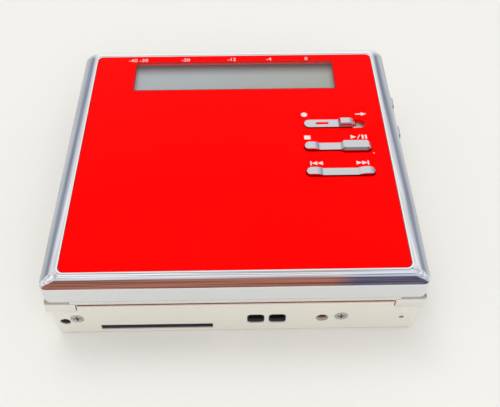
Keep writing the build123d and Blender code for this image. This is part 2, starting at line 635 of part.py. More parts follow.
def mid_frame():
    """Die-cast frame that closes the tray: rim, side skirts, hinge knuckles, deck ears and a screw boss."""
    inner_x = BASE_X - RIM_SIDE
    made = slab(BASE_X - SEAM, BASE_Y - SEAM, CORNER_NEAR, CORNER_FAR, COVER_TOP_Z + FIT, RIM_TOP_Z)
    made -= block(-inner_x, inner_x, -BASE_Y + RIM_NEAR, BASE_Y - RIM_FAR, COVER_TOP_Z - 1, RIM_TOP_Z + 1)
    ear_z = DAMPER_EAR_TOP - DAMPER_EAR_T
    for side in (-1, 1):
        made -= side_block(side, EAR_X - GAP, KNUCKLE_X[0], HINGE_Y - EYE_R - GAP, 0, 0, RIM_TOP_Z + 1)
        made += side_block(side, SKIRT_IN, SKIRT_OUT, KNUCKLE_Y[1] - 1, IN_Y - CORNER_FAR,
                           SKIRT_BOTTOM_Z, RIM_TOP_Z)
        made -= side_block(side, KNUCKLE_X[0] + 1, LID_X + 2, -LID_Y - 1, KNUCKLE_Y[1], 0, RIM_TOP_Z + 1)
        made += knuckle(side)
    for x, y in DAMPERS:
        side = math.copysign(1, x)
        y0, y1 = y - DAMPER_EAR_HALF, y + DAMPER_EAR_HALF
        made += side_block(side, DAMPER_EAR_X, SKIRT_OUT, y0, y1, ear_z, DAMPER_EAR_TOP)
        made += side_block(side, SKIRT_IN + GAP, SKIRT_OUT, y0, y1, ear_z, SKIRT_BOTTOM_Z + SEAM)
        made -= disc(SCREW_SHANK_R + SEAM, x, y, ear_z - 1, DAMPER_EAR_TOP + 1)
    x, z = FACE_SCREWS[0]
    width, depth = SCREW_BOSS
    made += block(x - width / 2, x + width / 2, FACE_PLATE_Y, KNUCKLE_Y[1], z - depth, KNUCKLE_Z[0] + SEAM)
    made -= rod(SCREW_SHANK_R, (x, -IN_Y, z), (x, -BASE_Y + FACE_SCREW_L + SEAM, z))
    dx, dy = DOOR_AXIS
    made += block(-SKIRT_OUT, -DECK_HALF_X - SEAM, dy - DOOR_BOSS_HALF, dy + DOOR_BOSS_HALF,
                  DOOR_Z[1] + SEAM, SKIRT_BOTTOM_Z + SEAM)
    made -= disc(TRUNNION_R + SHAFT_RUN, dx, dy, DOOR_Z[1], DOOR_Z[1] + TRUNNION_SOCKET)
    made += tongue()
    return made - knob_slot()


def tongue():
    """Upstand round the rim, just inside the lid's walls, broken at the hinge and the open switch."""
    z0, z1 = RIM_TOP_Z - SEAM, RIM_TOP_Z + TONGUE_H
    out_x, out_y = LID_IN_X - TONGUE_GAP, LID_IN_Y - TONGUE_GAP
    ends_x, near, far = KNUCKLE_X[0] - 1, KNUCKLE_Y[1] + 1, out_y - CORNER_FAR
    made = block(-ends_x, ends_x, -out_y, -out_y + TONGUE_T, z0, z1)
    made -= block(-ends_x - 1, -EAR_X + GAP, -out_y - 1, -out_y + 1, z0 + SEAM, z1 + 1)
    made -= block(EAR_X - GAP, ends_x + 1, -out_y - 1, -out_y + 1, z0 + SEAM, z1 + 1)
    made += block(-out_x + CORNER_FAR, out_x - CORNER_FAR, out_y - TONGUE_T, out_y, z0 - GAP, z1)
    for side in (-1, 1):
        made += side_block(side, out_x - TONGUE_T, out_x, near, far, z0, z1)
    break_y = KNOB_Y + HOOK_BACK - HOOK_REACH - TONGUE_BREAK, KNOB_Y + KNOB[1] / 2 + KNOB_TRAVEL
    return made - block(0, LID_X, *break_y, z0 + SEAM, z1 + 1)


def knob_slot():
    """The cut through rim and skirt that the open knob's hook plate and neck run in."""
    y0, y1 = KNOB_Y - KNOB[1] / 2, KNOB_Y + KNOB[1] / 2 + KNOB_TRAVEL
    half = KNOB_SLOT_H / 2 + SEAM
    made = block(SKIRT_IN - 1, SKIRT_OUT + SEAM, y0 + HOOK_END - SEAM, y1 - HOOK_END + SEAM,
                 KNOB_Z - half - SEAM, RIM_TOP_Z + 1)
    return made + block(SKIRT_IN, LID_X + 1, y0 + KNOB_NECK - SEAM, y1 - KNOB_NECK + SEAM,
                        KNOB_Z - half, KNOB_Z + half)


def hinge_pins():
    """Two steel pins, pressed into the knuckles and run through the holder's ears and the lid's brackets."""
    span = (EAR_X - GAP, KNUCKLE_X[1] - EAR_T - SEAM)
    made = [rod(PIN_R, (side * span[0], HINGE_Y, HINGE_Z), (side * span[1], HINGE_Y, HINGE_Z))
            for side in (-1, 1)]
    return Compound(made)


def face_screws():
    """The two countersunk screws in the hinge-side face."""
    body = screw(SCREW_HEAD_R, SCREW_HEAD_T - FIT, SCREW_SHANK_R, FACE_SCREW_L)
    return Compound([Pos(x, -BASE_Y, z) * Rot(90, 0, 0) * body for x, z in FACE_SCREWS])


def bottom_screws():
    """Four flat screws in the underside."""
    body = screw(SCREW_HEAD_R, SMALL_HEAD_T, SMALL_SHANK_R, BOARD_TOP_Z + NUT_H - FIT)
    return Compound([Pos(x, y, SNUG) * Rot(180, 0, 0) * body for x, y in POSTS])


def board_nuts():
    """Pressed nuts on the board that the bottom screws end in."""
    ring = extrude(RegularPolygon(NUT_R, 6) - Circle(SMALL_SHANK_R + TIGHT), NUT_H)
    return Compound([Pos(x, y, BOARD_TOP_Z) * ring for x, y in POSTS])


# ================================================================= boards and sockets

def main_board():
    """Main circuit board, notched round the slot socket and the locating hole."""
    made = block(-BOARD_HALF_X, BOARD_HALF_X, BOARD_NEAR_Y, BOARD_FAR_Y, BOARD_Z, BOARD_TOP_Z)
    made = fillet(made.edges().filter_by(Axis.Z), BOARD_CORNER)
    x, half = SLOT_AT[0], SLOT[0] / 2 + SLOT_WALL + 2 * GAP
    made -= block(x - half, x + half, BOARD_NEAR_Y - 1, SOCKET_BACK_Y + SEAM, 0, BOARD_TOP_Z + 1)
    for px, py in POSTS:
        made -= disc(SMALL_SHANK_R + SEAM, px, py, 0, BOARD_TOP_Z + 1)
    return made - disc(DOOR_BARREL_R + GAP, *DOOR_AXIS, 0, BOARD_TOP_Z + 1)


def chip(x, y, width, depth, height):
    """A moulded chip standing on the board, with its upper edges broken."""
    made = Pos(x, y, BOARD_TOP_Z + height / 2) * Box(width, depth, height)
    return chamfer(made.edges().group_by(Axis.Z)[-1], CHIP_BREAK)


def board_chips():
    """The processor, servo, codec and amplifier chips and two crystals."""
    width, depth, height = CRYSTAL
    made = [chip(PROCESSOR_X, SPINDLE_Y - PROCESSOR_Y, *PROCESSOR)]
    made.append(chip(PROCESSOR_X, SPINDLE_Y + SERVO_Y, *SERVO_CHIP))
    made.append(chip(CODEC_X, BOARD_NEAR_Y + CODEC_Y, *CODEC_CHIP))
    made.append(chip(AMPLIFIER_X, BOARD_NEAR_Y + AMPLIFIER_Y, *AMPLIFIER))
    left, far = CRYSTAL_INSET
    made.append(chip(-BOARD_HALF_X + left, SPINDLE_Y - PROCESSOR_Y - CRYSTAL_OFFSET, width, depth, height))
    made.append(chip(ROD_START_X + 2, BOARD_FAR_Y - far, depth, width, height))
    return Compound(made)


def slot_socket():
    """Moulded connector shell behind the long slot, open towards the slot."""
    x, z = SLOT_AT
    half = SLOT[0] / 2 + SLOT_WALL
    made = block(x - half, x + half, FACE_PLATE_Y, SOCKET_BACK_Y, COVER_T + FIT, z + SOCKET_H)
    return made - block(x - SLOT[0] / 2, x + SLOT[0] / 2, -BASE_Y, SOCKET_BACK_Y - SOCKET_BACK_T,
                        z - SLOT[1] / 2 + FIT, z + SLOT[1] / 2)


def socket_block():
    """Moulded block behind the face: two contact wells, the threaded insert and a screw seat."""
    z0, z1 = BOARD_TOP_Z + FIT, STRAP_Z - BLOCK_TOP_GAP
    x, z = FACE_SCREWS[1]
    made = block(BLOCK_START_X, x + BLOCK_END, FACE_PLATE_Y, BLOCK_BACK_Y, z0, z1)
    half = WELL - SEAM
    for well in WINDOW_X:
        made -= block(well - WELL, well + WELL, -BASE_Y, WELL_BACK_Y, FACE_Z - half, FACE_Z + half)
    made -= rod(INSERT_R, (INSERT_X, -BASE_Y, FACE_Z), (INSERT_X, FACE_PLATE_Y + INSERT_L, FACE_Z))
    return made - rod(SCREW_SHANK_R, (x, -BASE_Y, z), (x, -BASE_Y + FACE_SCREW_L + SEAM, z))


def dock_contacts():
    """Two sprung contact blades standing in each well."""
    width, length, height = BLADE
    made = []
    for well in WINDOW_X:
        for x in (well - BLADE_STEP, well + BLADE_STEP):
            blade = block(x - width / 2, x + width / 2, WELL_BACK_Y - length, WELL_BACK_Y,
                          FACE_Z - height / 2, FACE_Z + height / 2)
            made.append(fillet(blade.edges().filter_by(Axis.X).group_by(Axis.Y)[0], BLADE_ROUND))
    return Compound(made)


def threaded_insert():
    """Brass insert behind the round hole, for a stand or case screw."""
    y0, y1 = FACE_PLATE_Y, FACE_PLATE_Y + INSERT_L
    return (rod(INSERT_R, (INSERT_X, y0, FACE_Z), (INSERT_X, y1, FACE_Z))
            - rod(INSERT_BORE_R, (INSERT_X, y0 - 1, FACE_Z), (INSERT_X, y1 - INSERT_END_WALL, FACE_Z)))


def jack(y):
    """A 3.5 mm jack: moulded body on the board, round nose through the case wall."""
    length, width, height = JACK_BODY
    x1 = IN_X - SEAM
    made = block(x1 - length, x1, y - width / 2, y + width / 2, BOARD_TOP_Z, BOARD_TOP_Z + height)
    made = chamfer(made.edges().filter_by(Axis.X).group_by(Axis.Z)[-1], JACK_BREAK)
    made += rod(JACK_NOSE_R, (x1 - SEAM, y, JACK_Z), (BASE_X - FIT, y, JACK_Z))
    return made - rod(JACK_BORE_R, (x1 - length + JACK_END_WALL, y, JACK_Z), (BASE_X + 1, y, JACK_Z))


# ================================================================= battery bay

def battery():
    """Flat rechargeable cell with its raised pole."""
    y1, z1 = BATTERY_Y + BATTERY_DEPTH, BATTERY_Z + BATTERY_H
    made = block(BATTERY_X + POLE_H, BATTERY_END_X, BATTERY_Y, y1, BATTERY_Z, z1)
    made = fillet(made.edges().filter_by(Axis.X), BATTERY_ROUND)
    x1, pole_z = BATTERY_X + POLE_H + SEAM, (BATTERY_Z + z1) / 2
    return made + rod(POLE_R, (BATTERY_X, BATTERY_MID_Y, pole_z), (x1, BATTERY_MID_Y, pole_z))


def battery_tray():
    """Moulded channel that the cell slides in: floor, near wall and end wall."""
    x0, x1 = -DECK_HALF_X + TRAY_DOOR_GAP, BATTERY_END_X + TRAY_END_GAP
    y0, y1 = BATTERY_Y - GAP - TRAY_T, BATTERY_Y + BATTERY_DEPTH
    z0, z1 = COVER_T + FIT, DECK_Z - SEAM
    made = block(x0, x1 + TRAY_T, y0, y1, z0, BATTERY_Z - SEAM)
    made += block(x0, x1 + TRAY_T, y0, y0 + TRAY_T, z0, z1)
    return made + block(x1, x1 + TRAY_T, y0, y1, z0, z1)


def leaf_contact(foot, bow):
    """A bowed leaf across the cell's end, from its feet out to its middle."""
    inside = bow + math.copysign(CONTACT_T, foot - bow)
    low, high = BATTERY_MID_Y - CONTACT_HALF, BATTERY_MID_Y + CONTACT_HALF
    outer = ThreePointArc((foot, low), (bow, BATTERY_MID_Y), (foot, high))
    inner = ThreePointArc((foot, high - CONTACT_FOOT), (inside, BATTERY_MID_Y), (foot, low + CONTACT_FOOT))
    face = make_face([outer, Line(outer @ 1, inner @ 0), inner, Line(inner @ 1, outer @ 0)])
    return Pos(0, 0, BATTERY_Z + (BATTERY_H - CONTACT_H) / 2) * extrude(face, CONTACT_H, dir=(0, 0, 1))


def battery_spring():
    """Bowed leaf contact at the end of the bay."""
    return leaf_contact(BATTERY_END_X + TRAY_END_GAP - FIT, BATTERY_END_X + FIT)


def battery_door():
    """Door over the cell, a flat plate on a barrel with two trunnions."""
    dx, dy = DOOR_AXIS
    y1 = DOOR_Y[1] - DOOR_GAP
    z0, z1 = DOOR_Z[0] + SEAM, DOOR_Z[1] - SEAM
    made = block(-BASE_X, -IN_X, dy, y1, z0, z1) + disc(DOOR_BARREL_R, dx, dy, z0, z1)
    width, inset, depth = DOOR_GRIP
    made -= block(-BASE_X - 1, -BASE_X + depth, y1 - inset - width, y1 - inset, z0 + inset, z1 - inset)
    return made + disc(TRUNNION_R, dx, dy, z0 - TRUNNION_L, z1 + TRUNNION_L)


def door_contact():
    """Bowed leaf contact on the inside of the door."""
    return leaf_contact(-IN_X, BATTERY_X - DOOR_GAP)


# ================================================================= deck and drive

def rod_tab(x, y, radius, size):
    """A tab folded down from the deck at x, with a hole of the given radius."""
    half, depth = size
    tab = block(x, x + TAB_T, y - half, y + half, ROD_Z - depth, DECK_Z + FIT)
    return tab - rod(radius, (x - 1, y, ROD_Z), (x + TAB_T + 1, y, ROD_Z))


def deck_plate():
    """Pressed deck: spindle hole, lens window, damper holes and folded tabs that hold rods and screw."""
    made = block(-DECK_HALF_X, DECK_HALF_X, DECK_NEAR_Y, DECK_FAR_Y, DECK_Z, DECK_TOP_Z)
    made = fillet(made.edges().filter_by(Axis.Z), DECK_CORNER)
    low, high = DECK_Z - 1, DECK_TOP_Z + 1
    made -= disc(TABLE_R + TABLE_RIM_GAP, 0, SPINDLE_Y, low, high)
    width = 2 * (LENS_RING_R + DECK_WINDOW_GAP)
    made -= stadium(SLED_TRAVEL + width, width, TRACK_X + SLED_TRAVEL / 2, SPINDLE_Y, low, high)
    for x, y in DAMPERS:
        made -= disc(SCREW_SHANK_R, x, y, low, high)
    for x in (ROD_X[0] - GAP, ROD_X[1] - SEAM - TAB_T):
        made += rod_tab(x, ROD_Y, ROD_R + TIGHT, ROD_TAB)
        made += rod_tab(x, AUX_Y, AUX_R + TIGHT, ROD_TAB)
    return made + rod_tab(LEAD_END_X + GAP, LEAD_Y, LEAD_PIVOT_R + SHAFT_RUN, LEAD_TAB)


def deck_dampers():
    """Rubber bushes that float the deck on the frame's ears."""
    ring = extrude(Circle(DAMPER_R) - Circle(SCREW_SHANK_R + FIT), DAMPER_T - 2 * FIT)
    rims = ring.edges().filter_by(GeomType.CIRCLE).filter_by(lambda edge: edge.radius > DAMPER_R - SEAM)
    ring = fillet(rims, DAMPER_BREAK)
    return Compound([Pos(x, y, DAMPER_EAR_TOP + FIT) * ring for x, y in DAMPERS])


def damper_screws():
    """Screws up through ear and bush into the deck."""
    length = DAMPER_EAR_T + DAMPER_T + DECK_T
    body = disc(SCREW_HEAD_R, 0, 0, -DAMPER_HEAD_T, 0) + disc(SCREW_SHANK_R, 0, 0, -FIT, length)
    body -= Rot(180, 0, 0) * cross_recess(DAMPER_HEAD_T)
    return Compound([Pos(x, y, DAMPER_EAR_TOP - DAMPER_EAR_T) * body for x, y in DAMPERS])


def spindle_motor():
    """Flat brushless motor under the deck."""
    flange_r, flange_t = MOTOR_FLANGE
    foot = DECK_Z - MOTOR_H
    made = disc(MOTOR_R, 0, SPINDLE_Y, foot, DECK_Z - flange_t)
    made = chamfer(made.edges().group_by(Axis.Z)[0], MOTOR_BREAK)
    made += disc(flange_r, 0, SPINDLE_Y, DECK_Z - flange_t - FIT, DECK_Z - SNUG)
    return made - disc(SHAFT_R + SHAFT_RUN, 0, SPINDLE_Y, foot + SHAFT_FOOT - SEAM, DECK_Z + 1)


def spindle_shaft():
    """Ground steel shaft."""
    return disc(SHAFT_R, 0, SPINDLE_Y, DECK_Z - MOTOR_H + SHAFT_FOOT, DECK_Z + TABLE_GAP + TABLE_T)


def turntable():
    """Disc seat with its centring cone and a ring of grip holes."""
    z0 = DECK_Z + TABLE_GAP
    z1 = z0 + TABLE_T
    made = disc(TABLE_R, 0, SPINDLE_Y, z0, z1)
    made += Pos(0, SPINDLE_Y, z1) * Cone(CONE_R, CONE_TIP_R, CONE_H, align=STANDING)
    made -= disc(SHAFT_R, 0, SPINDLE_Y, z0 - 1, z1)
    hole = disc(TABLE_HOLE_R, CHUCK_R + 2 * TABLE_HOLE_R, 0, z0 - 1, z1 + 1)
    for step in range(TABLE_HOLES):
        made -= Pos(0, SPINDLE_Y, 0) * Rot(0, 0, 360 / TABLE_HOLES * step) * hole
    return made


def chuck_magnet():
    """Ring magnet round the cone that clamps the disc's hub plate."""
    z0 = DECK_Z + TABLE_GAP + TABLE_T
    z1 = z0 + CHUCK_T
    return disc(CHUCK_R, 0, SPINDLE_Y, z0, z1) - disc(CONE_R + FIT, 0, SPINDLE_Y, z0 - 1, z1 + 1)


def guide_rods():
    """Main and auxiliary guide rods."""
    x0, x1 = ROD_X[0] - 2 * ROD_END, ROD_X[1] + ROD_END
    main = rod(ROD_R, (x0, ROD_Y, ROD_Z), (x1, ROD_Y, ROD_Z))
    return Compound([main, rod(AUX_R, (x0, AUX_Y, ROD_Z), (x1, AUX_Y, ROD_Z))])


def sled_motor():
    """Small can motor that turns the lead screw."""
    x0, x1 = DRIVE_MOTOR_X
    made = rod(DRIVE_MOTOR_R, (x0, LEAD_Y, ROD_Z), (x1, LEAD_Y, ROD_Z))
    reach = DRIVE_MOTOR_R + 1
    made -= block(x0 - 1, x1 + 1, LEAD_Y - reach, LEAD_Y + reach, 0, BOARD_TOP_Z + SEAM)
    hole = (x1 - LEAD_JOURNAL - SEAM, LEAD_Y, ROD_Z), (x1 + 1, LEAD_Y, ROD_Z)
    return made - rod(LEAD_PIVOT_R + SHAFT_RUN, *hole)


def lead_screw():
    """Screw that drives the sled: worm-like rings between two plain journals."""
    x0 = DRIVE_MOTOR_X[1] + GAP
    points = [(x0, 0), (x0, LEAD_R)]
    start, floor, rise = (LEAD_PITCH * share for share in LEAD_GROOVE)
    for turn in range(int((LEAD_END_X - x0) / LEAD_PITCH)):
        x = x0 + turn * LEAD_PITCH
        points += [(x + start, LEAD_R), (x + floor, LEAD_R - LEAD_DEPTH)]
        points += [(x + rise, LEAD_R - LEAD_DEPTH), (x + LEAD_PITCH, LEAD_R)]
    points += [(LEAD_END_X, LEAD_R), (LEAD_END_X, 0)]
    body = Pos(0, LEAD_Y, ROD_Z) * revolve(make_face(Polyline(*points, close=True)), Axis.X)
    core = (x0 - LEAD_JOURNAL, LEAD_Y, ROD_Z), (LEAD_END_X + GAP + TAB_T, LEAD_Y, ROD_Z)
    return body + rod(LEAD_PIVOT_R, *core)


def pickup_sled():
    """Die-cast pickup base: laser housing, two bushes on the main rod and a fork on the other."""
    x0, x1 = TRACK_X - SLED_IN, TRACK_X + SLED_OUT
    y0, y1 = SLED_Y
    made = block(x0, x1, y0, y1, *SLED_Z)
    made = fillet(made.edges().filter_by(Axis.Z), SLED_CORNER)
    made = chamfer(made.edges().group_by(Axis.Z)[0], SLED_BREAK)
    made -= block(x0 - 1, x1 + 1, y0 - 1, y0 + SHELF, SLED_Z[1] - SLED_STEP, SLED_Z[1] + 1)
    made -= disc(LENS_RING_R + FIT, TRACK_X, SPINDLE_Y, SLED_Z[1] - LENS_SEAT, SLED_Z[1] + 1)
    for station in BUSH_STATIONS:
        x = x0 + station
        made += rod(BUSH_R, (x, ROD_Y, ROD_Z), (x + BUSH_L, ROD_Y, ROD_Z))
        made += block(x, x + BUSH_L, ROD_Y, y0 + 1, ROD_Z - BUSH_R, ROD_Z + BUSH_R)
    made -= rod(ROD_R + SHAFT_RUN, (x0 - 1, ROD_Y, ROD_Z), (x1 + 1, ROD_Y, ROD_Z))
    slot, (inward, outward, reach) = AUX_R + SHAFT_RUN, FORK
    fork = block(TRACK_X - inward, TRACK_X + outward, y1 - 1, AUX_Y + reach, ROD_Z - BUSH_R, ROD_Z + BUSH_R)
    fork -= block(x0, x1, AUX_Y - AUX_R - SEAM, AUX_Y + 2 * reach, ROD_Z - slot, ROD_Z + slot)
    return made + fork


def objective_lens():
    """Lens in its holder ring, standing in the deck's window."""
    z1 = DECK_TOP_Z + LENS_PROUD
    made = disc(LENS_RING_R, TRACK_X, SPINDLE_Y, SLED_Z[1] - LENS_SEAT + FIT, z1)
    dome = Pos(TRACK_X, SPINDLE_Y, z1 - LENS_BALL_SINK) * Sphere(LENS_BALL_R)
    return made + (dome & disc(LENS_R, TRACK_X, SPINDLE_Y, z1 - SEAM, z1 + LENS_DOME_H))


def screw_follower():
    """Nut on the sled's inner bush that the lead screw drives."""
    x = TRACK_X - SLED_IN + BUSH_STATIONS[0]
    made = block(x, x + BUSH_L, LEAD_Y - FOLLOWER_BACK, ROD_Y - BUSH_R, ROD_Z - BUSH_R, ROD_Z + BUSH_R)
    return made - rod(LEAD_R + SHAFT_RUN + SNUG, (x - 1, LEAD_Y, ROD_Z), (x + BUSH_L + 1, LEAD_Y, ROD_Z))


def head_strap():
    """Bent steel strap from the sled round the back of the bay, with two ears and the arm's pin."""
    x0, x1 = STRAP_X
    y0 = STRAP_BACK_Y
    foot = HINGE_Z - ARM_EYE_R
    made = block(x0, x1, y0, SLED_Y[0] + SHELF - SEAM, STRAP_Z, STRAP_Z + STRAP_T)
    made += block(x0, x1, y0, y0 + STRAP_T, STRAP_Z, foot - 2 * GAP)
    for ear in (x0, x1 - ARM_EAR_T):
        plate = block(ear, ear + ARM_EAR_T, HINGE_Y, y0 + STRAP_T, STRAP_Z + 1, HINGE_Z + ARM_EYE_R)
        plate -= block(ear - 1, ear + 1, HINGE_Y - 1, y0 - 2 * GAP, STRAP_Z, foot - GAP)
        plate += rod(ARM_EYE_R, (ear, HINGE_Y, HINGE_Z), (ear + ARM_EAR_T, HINGE_Y, HINGE_Z))
        made += plate
    return made + rod(ARM_PIN_R, (x0, HINGE_Y, HINGE_Z), (x1, HINGE_Y, HINGE_Z))


def head_arm():
    """Recording arm: barrel on the pin, neck up behind the bay, flat blade over it to the lens line."""
    x0, x1 = STRAP_X[0] + ARM_EAR_T + SEAM, STRAP_X[1] - ARM_EAR_T - SEAM
    neck_y = HINGE_Y + ARM_NECK_OFFSET
    tip_x = TRACK_X + HEAD[0] / 2 + ARM_TIP_RIM
    made = rod(ARM_EYE_R, (x0, HINGE_Y, HINGE_Z), (x1, HINGE_Y, HINGE_Z))
    made += block(x0, x1, HINGE_Y, neck_y + ARM_T, HINGE_Z - ARM_PIN_R, HINGE_Z + ARM_PIN_R)
    made += block(x0, x1, neck_y, neck_y + ARM_T, HINGE_Z, ARM_Z + ARM_T)
    bend, back, near, far = ARM_TAPER
    points = [(x0, neck_y), (x1, neck_y), (x1 + ARM_FLARE, SPINDLE_Y - bend), (tip_x, SPINDLE_Y - near),
              (tip_x, SPINDLE_Y + far), (x1, SPINDLE_Y + far), (x0, SPINDLE_Y - back)]
    outline = Polyline(*points, close=True)
    made += Pos(0, 0, ARM_Z) * extrude(make_face(outline), ARM_T, dir=(0, 0, 1))
    return made - rod(ARM_PIN_R + SHAFT_RUN, (x0 - 1, HINGE_Y, HINGE_Z), (x1 + 1, HINGE_Y, HINGE_Z))


def recording_head():
    """Magnetic head hanging under the arm's tip."""
    width, length, height = HEAD
    plate = extrude(RectangleRounded(width, length, HEAD_CORNER), height)
    made = Pos(TRACK_X, SPINDLE_Y, ARM_Z - height) * plate
    return chamfer(made.edges().group_by(Axis.Z)[0], HEAD_BREAK)


# ================================================================= disc holder

def disc_holder():
    """Sheet-metal sleeve for the cartridge: top, sides, back stop, folded lips and two hinge ears."""
    x, t = HOLDER_X, HOLDER_T
    z0, z1 = BAY_FLOOR_Z - t, CASE_TOP_Z
    y0, y1 = HOLDER_BACK_Y, HOLDER_MOUTH_Y
    made = block(-x, x, y0, y1, z1, z1 + t)
    made += block(-x, x, y0, y0 + t, z1 - HOLDER_STOP, z1 + t)
    foot = HINGE_Z - SEAM
    for side in (-1, 1):
        made += side_block(side, x - t, x, y0, y1, z0, z1 + t)
        made += side_block(side, x - HOLDER_LIP - t, x, y0, y1, z0, z0 + t)
        made += side_block(side, x - HOLDER_LIP - t, x, y0, y0 + t, z0, z1 + t)
        ear = side_block(side, EAR_X, EAR_X + EAR_T, HINGE_Y, y0 + t, foot, HINGE_Z + EYE_R)
        ear += side_block(side, EAR_X, x - HOLDER_LIP, y0, y0 + t, foot, HINGE_Z + 2 * EYE_R)
        ear += rod(EYE_R, (side * EAR_X, HINGE_Y, HINGE_Z), (side * (EAR_X + EAR_T), HINGE_Y, HINGE_Z))
        hole = (side * (EAR_X - 1), HINGE_Y, HINGE_Z), (side * (EAR_X + 2), HINGE_Y, HINGE_Z)
        made += ear - rod(PIN_R + SHAFT_RUN, *hole)
    half_x, half_y = HEAD[0] / 2 + HEAD_WINDOW_GAP, HEAD[1] / 2 + HEAD_WINDOW_GAP
    made -= block(TRACK_X - half_x, TRACK_X + SLED_TRAVEL + half_x, SPINDLE_Y - half_y, SPINDLE_Y + half_y,
                  z1 - 1, z1 + 1)
    length, width, window_x, window_y = HOLDER_WINDOW
    made -= stadium(length, width, window_x, SPINDLE_Y + window_y, z1 - 1, z1 + 1)
    return fillet(made.edges().filter_by(Axis.Z).group_by(Axis.Y)[-1], HOLDER_BREAK)


def holder_spring():
    """Leaf spring on the holder's top that presses the cartridge down."""
    length, width, thick = SPRING_LEAF
    leaf = extrude(RectangleRounded(length, width, SPRING_CORNER), thick)
    return Pos(SPRING_AT[0], SPINDLE_Y + SPRING_AT[1], CASE_TOP_Z + HOLDER_T) * leaf


# ================================================================= lid

def bevel_section(across):
    """Section of one bezel bar: an arc bevel that runs out past the wall, and the flat inside it."""
    run = BEZEL_WIDTH - BEZEL_LEDGE
    half_turn = math.radians(BEVEL_TURN / 2)
    radius = math.hypot(run, BEVEL_DROP) / 2 / math.sin(half_turn)
    middle = math.atan2(run, BEVEL_DROP)
    foot = Vector(across, BEVEL_FOOT_Z)
    centre = foot - radius * Vector(math.cos(middle - half_turn), math.sin(middle - half_turn))
    angles = (middle - half_turn - math.radians(BEVEL_OVERRUN), middle, middle + half_turn)
    points = [centre + radius * Vector(math.cos(angle), math.sin(angle)) for angle in angles]
    inside = across - BEZEL_REACH
    back = (inside, PANEL_TOP_Z), (inside, BEZEL_BOTTOM_Z), (points[0].X, BEZEL_BOTTOM_Z), points[0]
    return make_face([ThreePointArc(*points), Polyline(points[2], *back)])


def bezel_side(across, along):
    """One straight side of the bezel at +Y, mitred at 45 degrees where it meets its neighbours."""
    bar = extrude(Plane.YZ * bevel_section(across), along + MITRE_MARGIN, both=True)
    far_y, near_y = across + MITRE_MARGIN, across - BEZEL_REACH
    far_x, near_x = along + MITRE_MARGIN, along - BEZEL_REACH
    mitre = Polygon((-far_x, far_y), (far_x, far_y), (near_x, near_y), (-near_x, near_y), align=None)
    wedge = extrude(mitre, PANEL_TOP_Z - BEZEL_BOTTOM_Z, dir=(0, 0, 1))
    return bar & Pos(0, 0, BEZEL_BOTTOM_Z) * wedge


def lid_bezel():
    """Polished ring round the panel: mitred arc bevels, a flat lip and the panel's seat."""
    far = bezel_side(LID_Y, LID_X)
    left = Rot(0, 0, 90) * bezel_side(LID_X, LID_Y)
    ring = far + left + mirror(far, Plane.XZ) + mirror(left, Plane.YZ)
    ring &= slab(LID_X, LID_Y, CORNER_NEAR, CORNER_FAR, BEZEL_BOTTOM_Z, PANEL_TOP_Z)
    panel_x, panel_y = PANEL_X + FIT, PANEL_Y + FIT
    ring -= slab(panel_x, panel_y, PANEL_CORNER, PANEL_CORNER, PANEL_BOTTOM_Z, PANEL_TOP_Z)
    seat_x, seat_y = PANEL_X - BEZEL_SEAT, PANEL_Y - BEZEL_SEAT
    return ring - slab(seat_x, seat_y, SEAT_CORNER, SEAT_CORNER, BEZEL_BOTTOM_Z, PANEL_TOP_Z)


def lid_frame():
    """Satin lid shell: side walls, top sheet with its raised panel seat, screw bosses, hinge brackets."""
    made = slab(LID_X, LID_Y, CORNER_NEAR, CORNER_FAR, LID_EDGE_Z, BEZEL_BOTTOM_Z)
    seat, corner = BEZEL_SEAT + SEAM, SEAT_CORNER - SEAM
    made += slab(PANEL_X - seat, PANEL_Y - seat, corner, corner, BEZEL_BOTTOM_Z - SEAM, PLATEAU_Z)
    near, far = CORNER_NEAR - LID_WALL, CORNER_FAR - LID_WALL
    made -= slab(LID_IN_X, LID_IN_Y, near, far, LID_EDGE_Z - 1, LID_SHEET_Z)
    lcd_x, lcd_y = LCD_FRAME_X + SEAM, LCD_FRAME_Y + SEAM
    made -= block(-lcd_x, lcd_x, DISPLAY_Y - lcd_y, DISPLAY_Y + lcd_y, LID_SHEET_Z - 1, PANEL_TOP_Z)
    made -= block(*KEY_BAY_X, *KEY_BAY_Y, LID_SHEET_Z - 1, PANEL_TOP_Z)
    for x, y in LID_SCREWS:
        made += disc(BOSS_R, x, y, PLATE_Z + PLATE_T, LID_SHEET_Z + SEAM)
        made -= disc(SMALL_SHANK_R, x, y, PLATE_Z, LID_SHEET_Z)
    y0 = HINGE_Y + NECK_OFFSET
    for side in (-1, 1):
        made += side_block(side, BRACKET_X, BRACKET_X + EAR_T, y0, y0 + NECK_T, HINGE_Z, LID_SHEET_Z + SEAM)
        eye = (side * BRACKET_X, HINGE_Y, HINGE_Z), (side * (BRACKET_X + EAR_T), HINGE_Y, HINGE_Z)
        hole = (side * (BRACKET_X - 1), HINGE_Y, HINGE_Z), (side * (BRACKET_X + 2), HINGE_Y, HINGE_Z)
        made += rod(EYE_R, *eye)
        made -= rod(PIN_R + SHAFT_RUN, *hole)
    for y in SIDE_BUTTON_Y.values():
        made -= side_stadium(SEAM, y, LID_IN_X - 1, LID_X + 1)
    return made


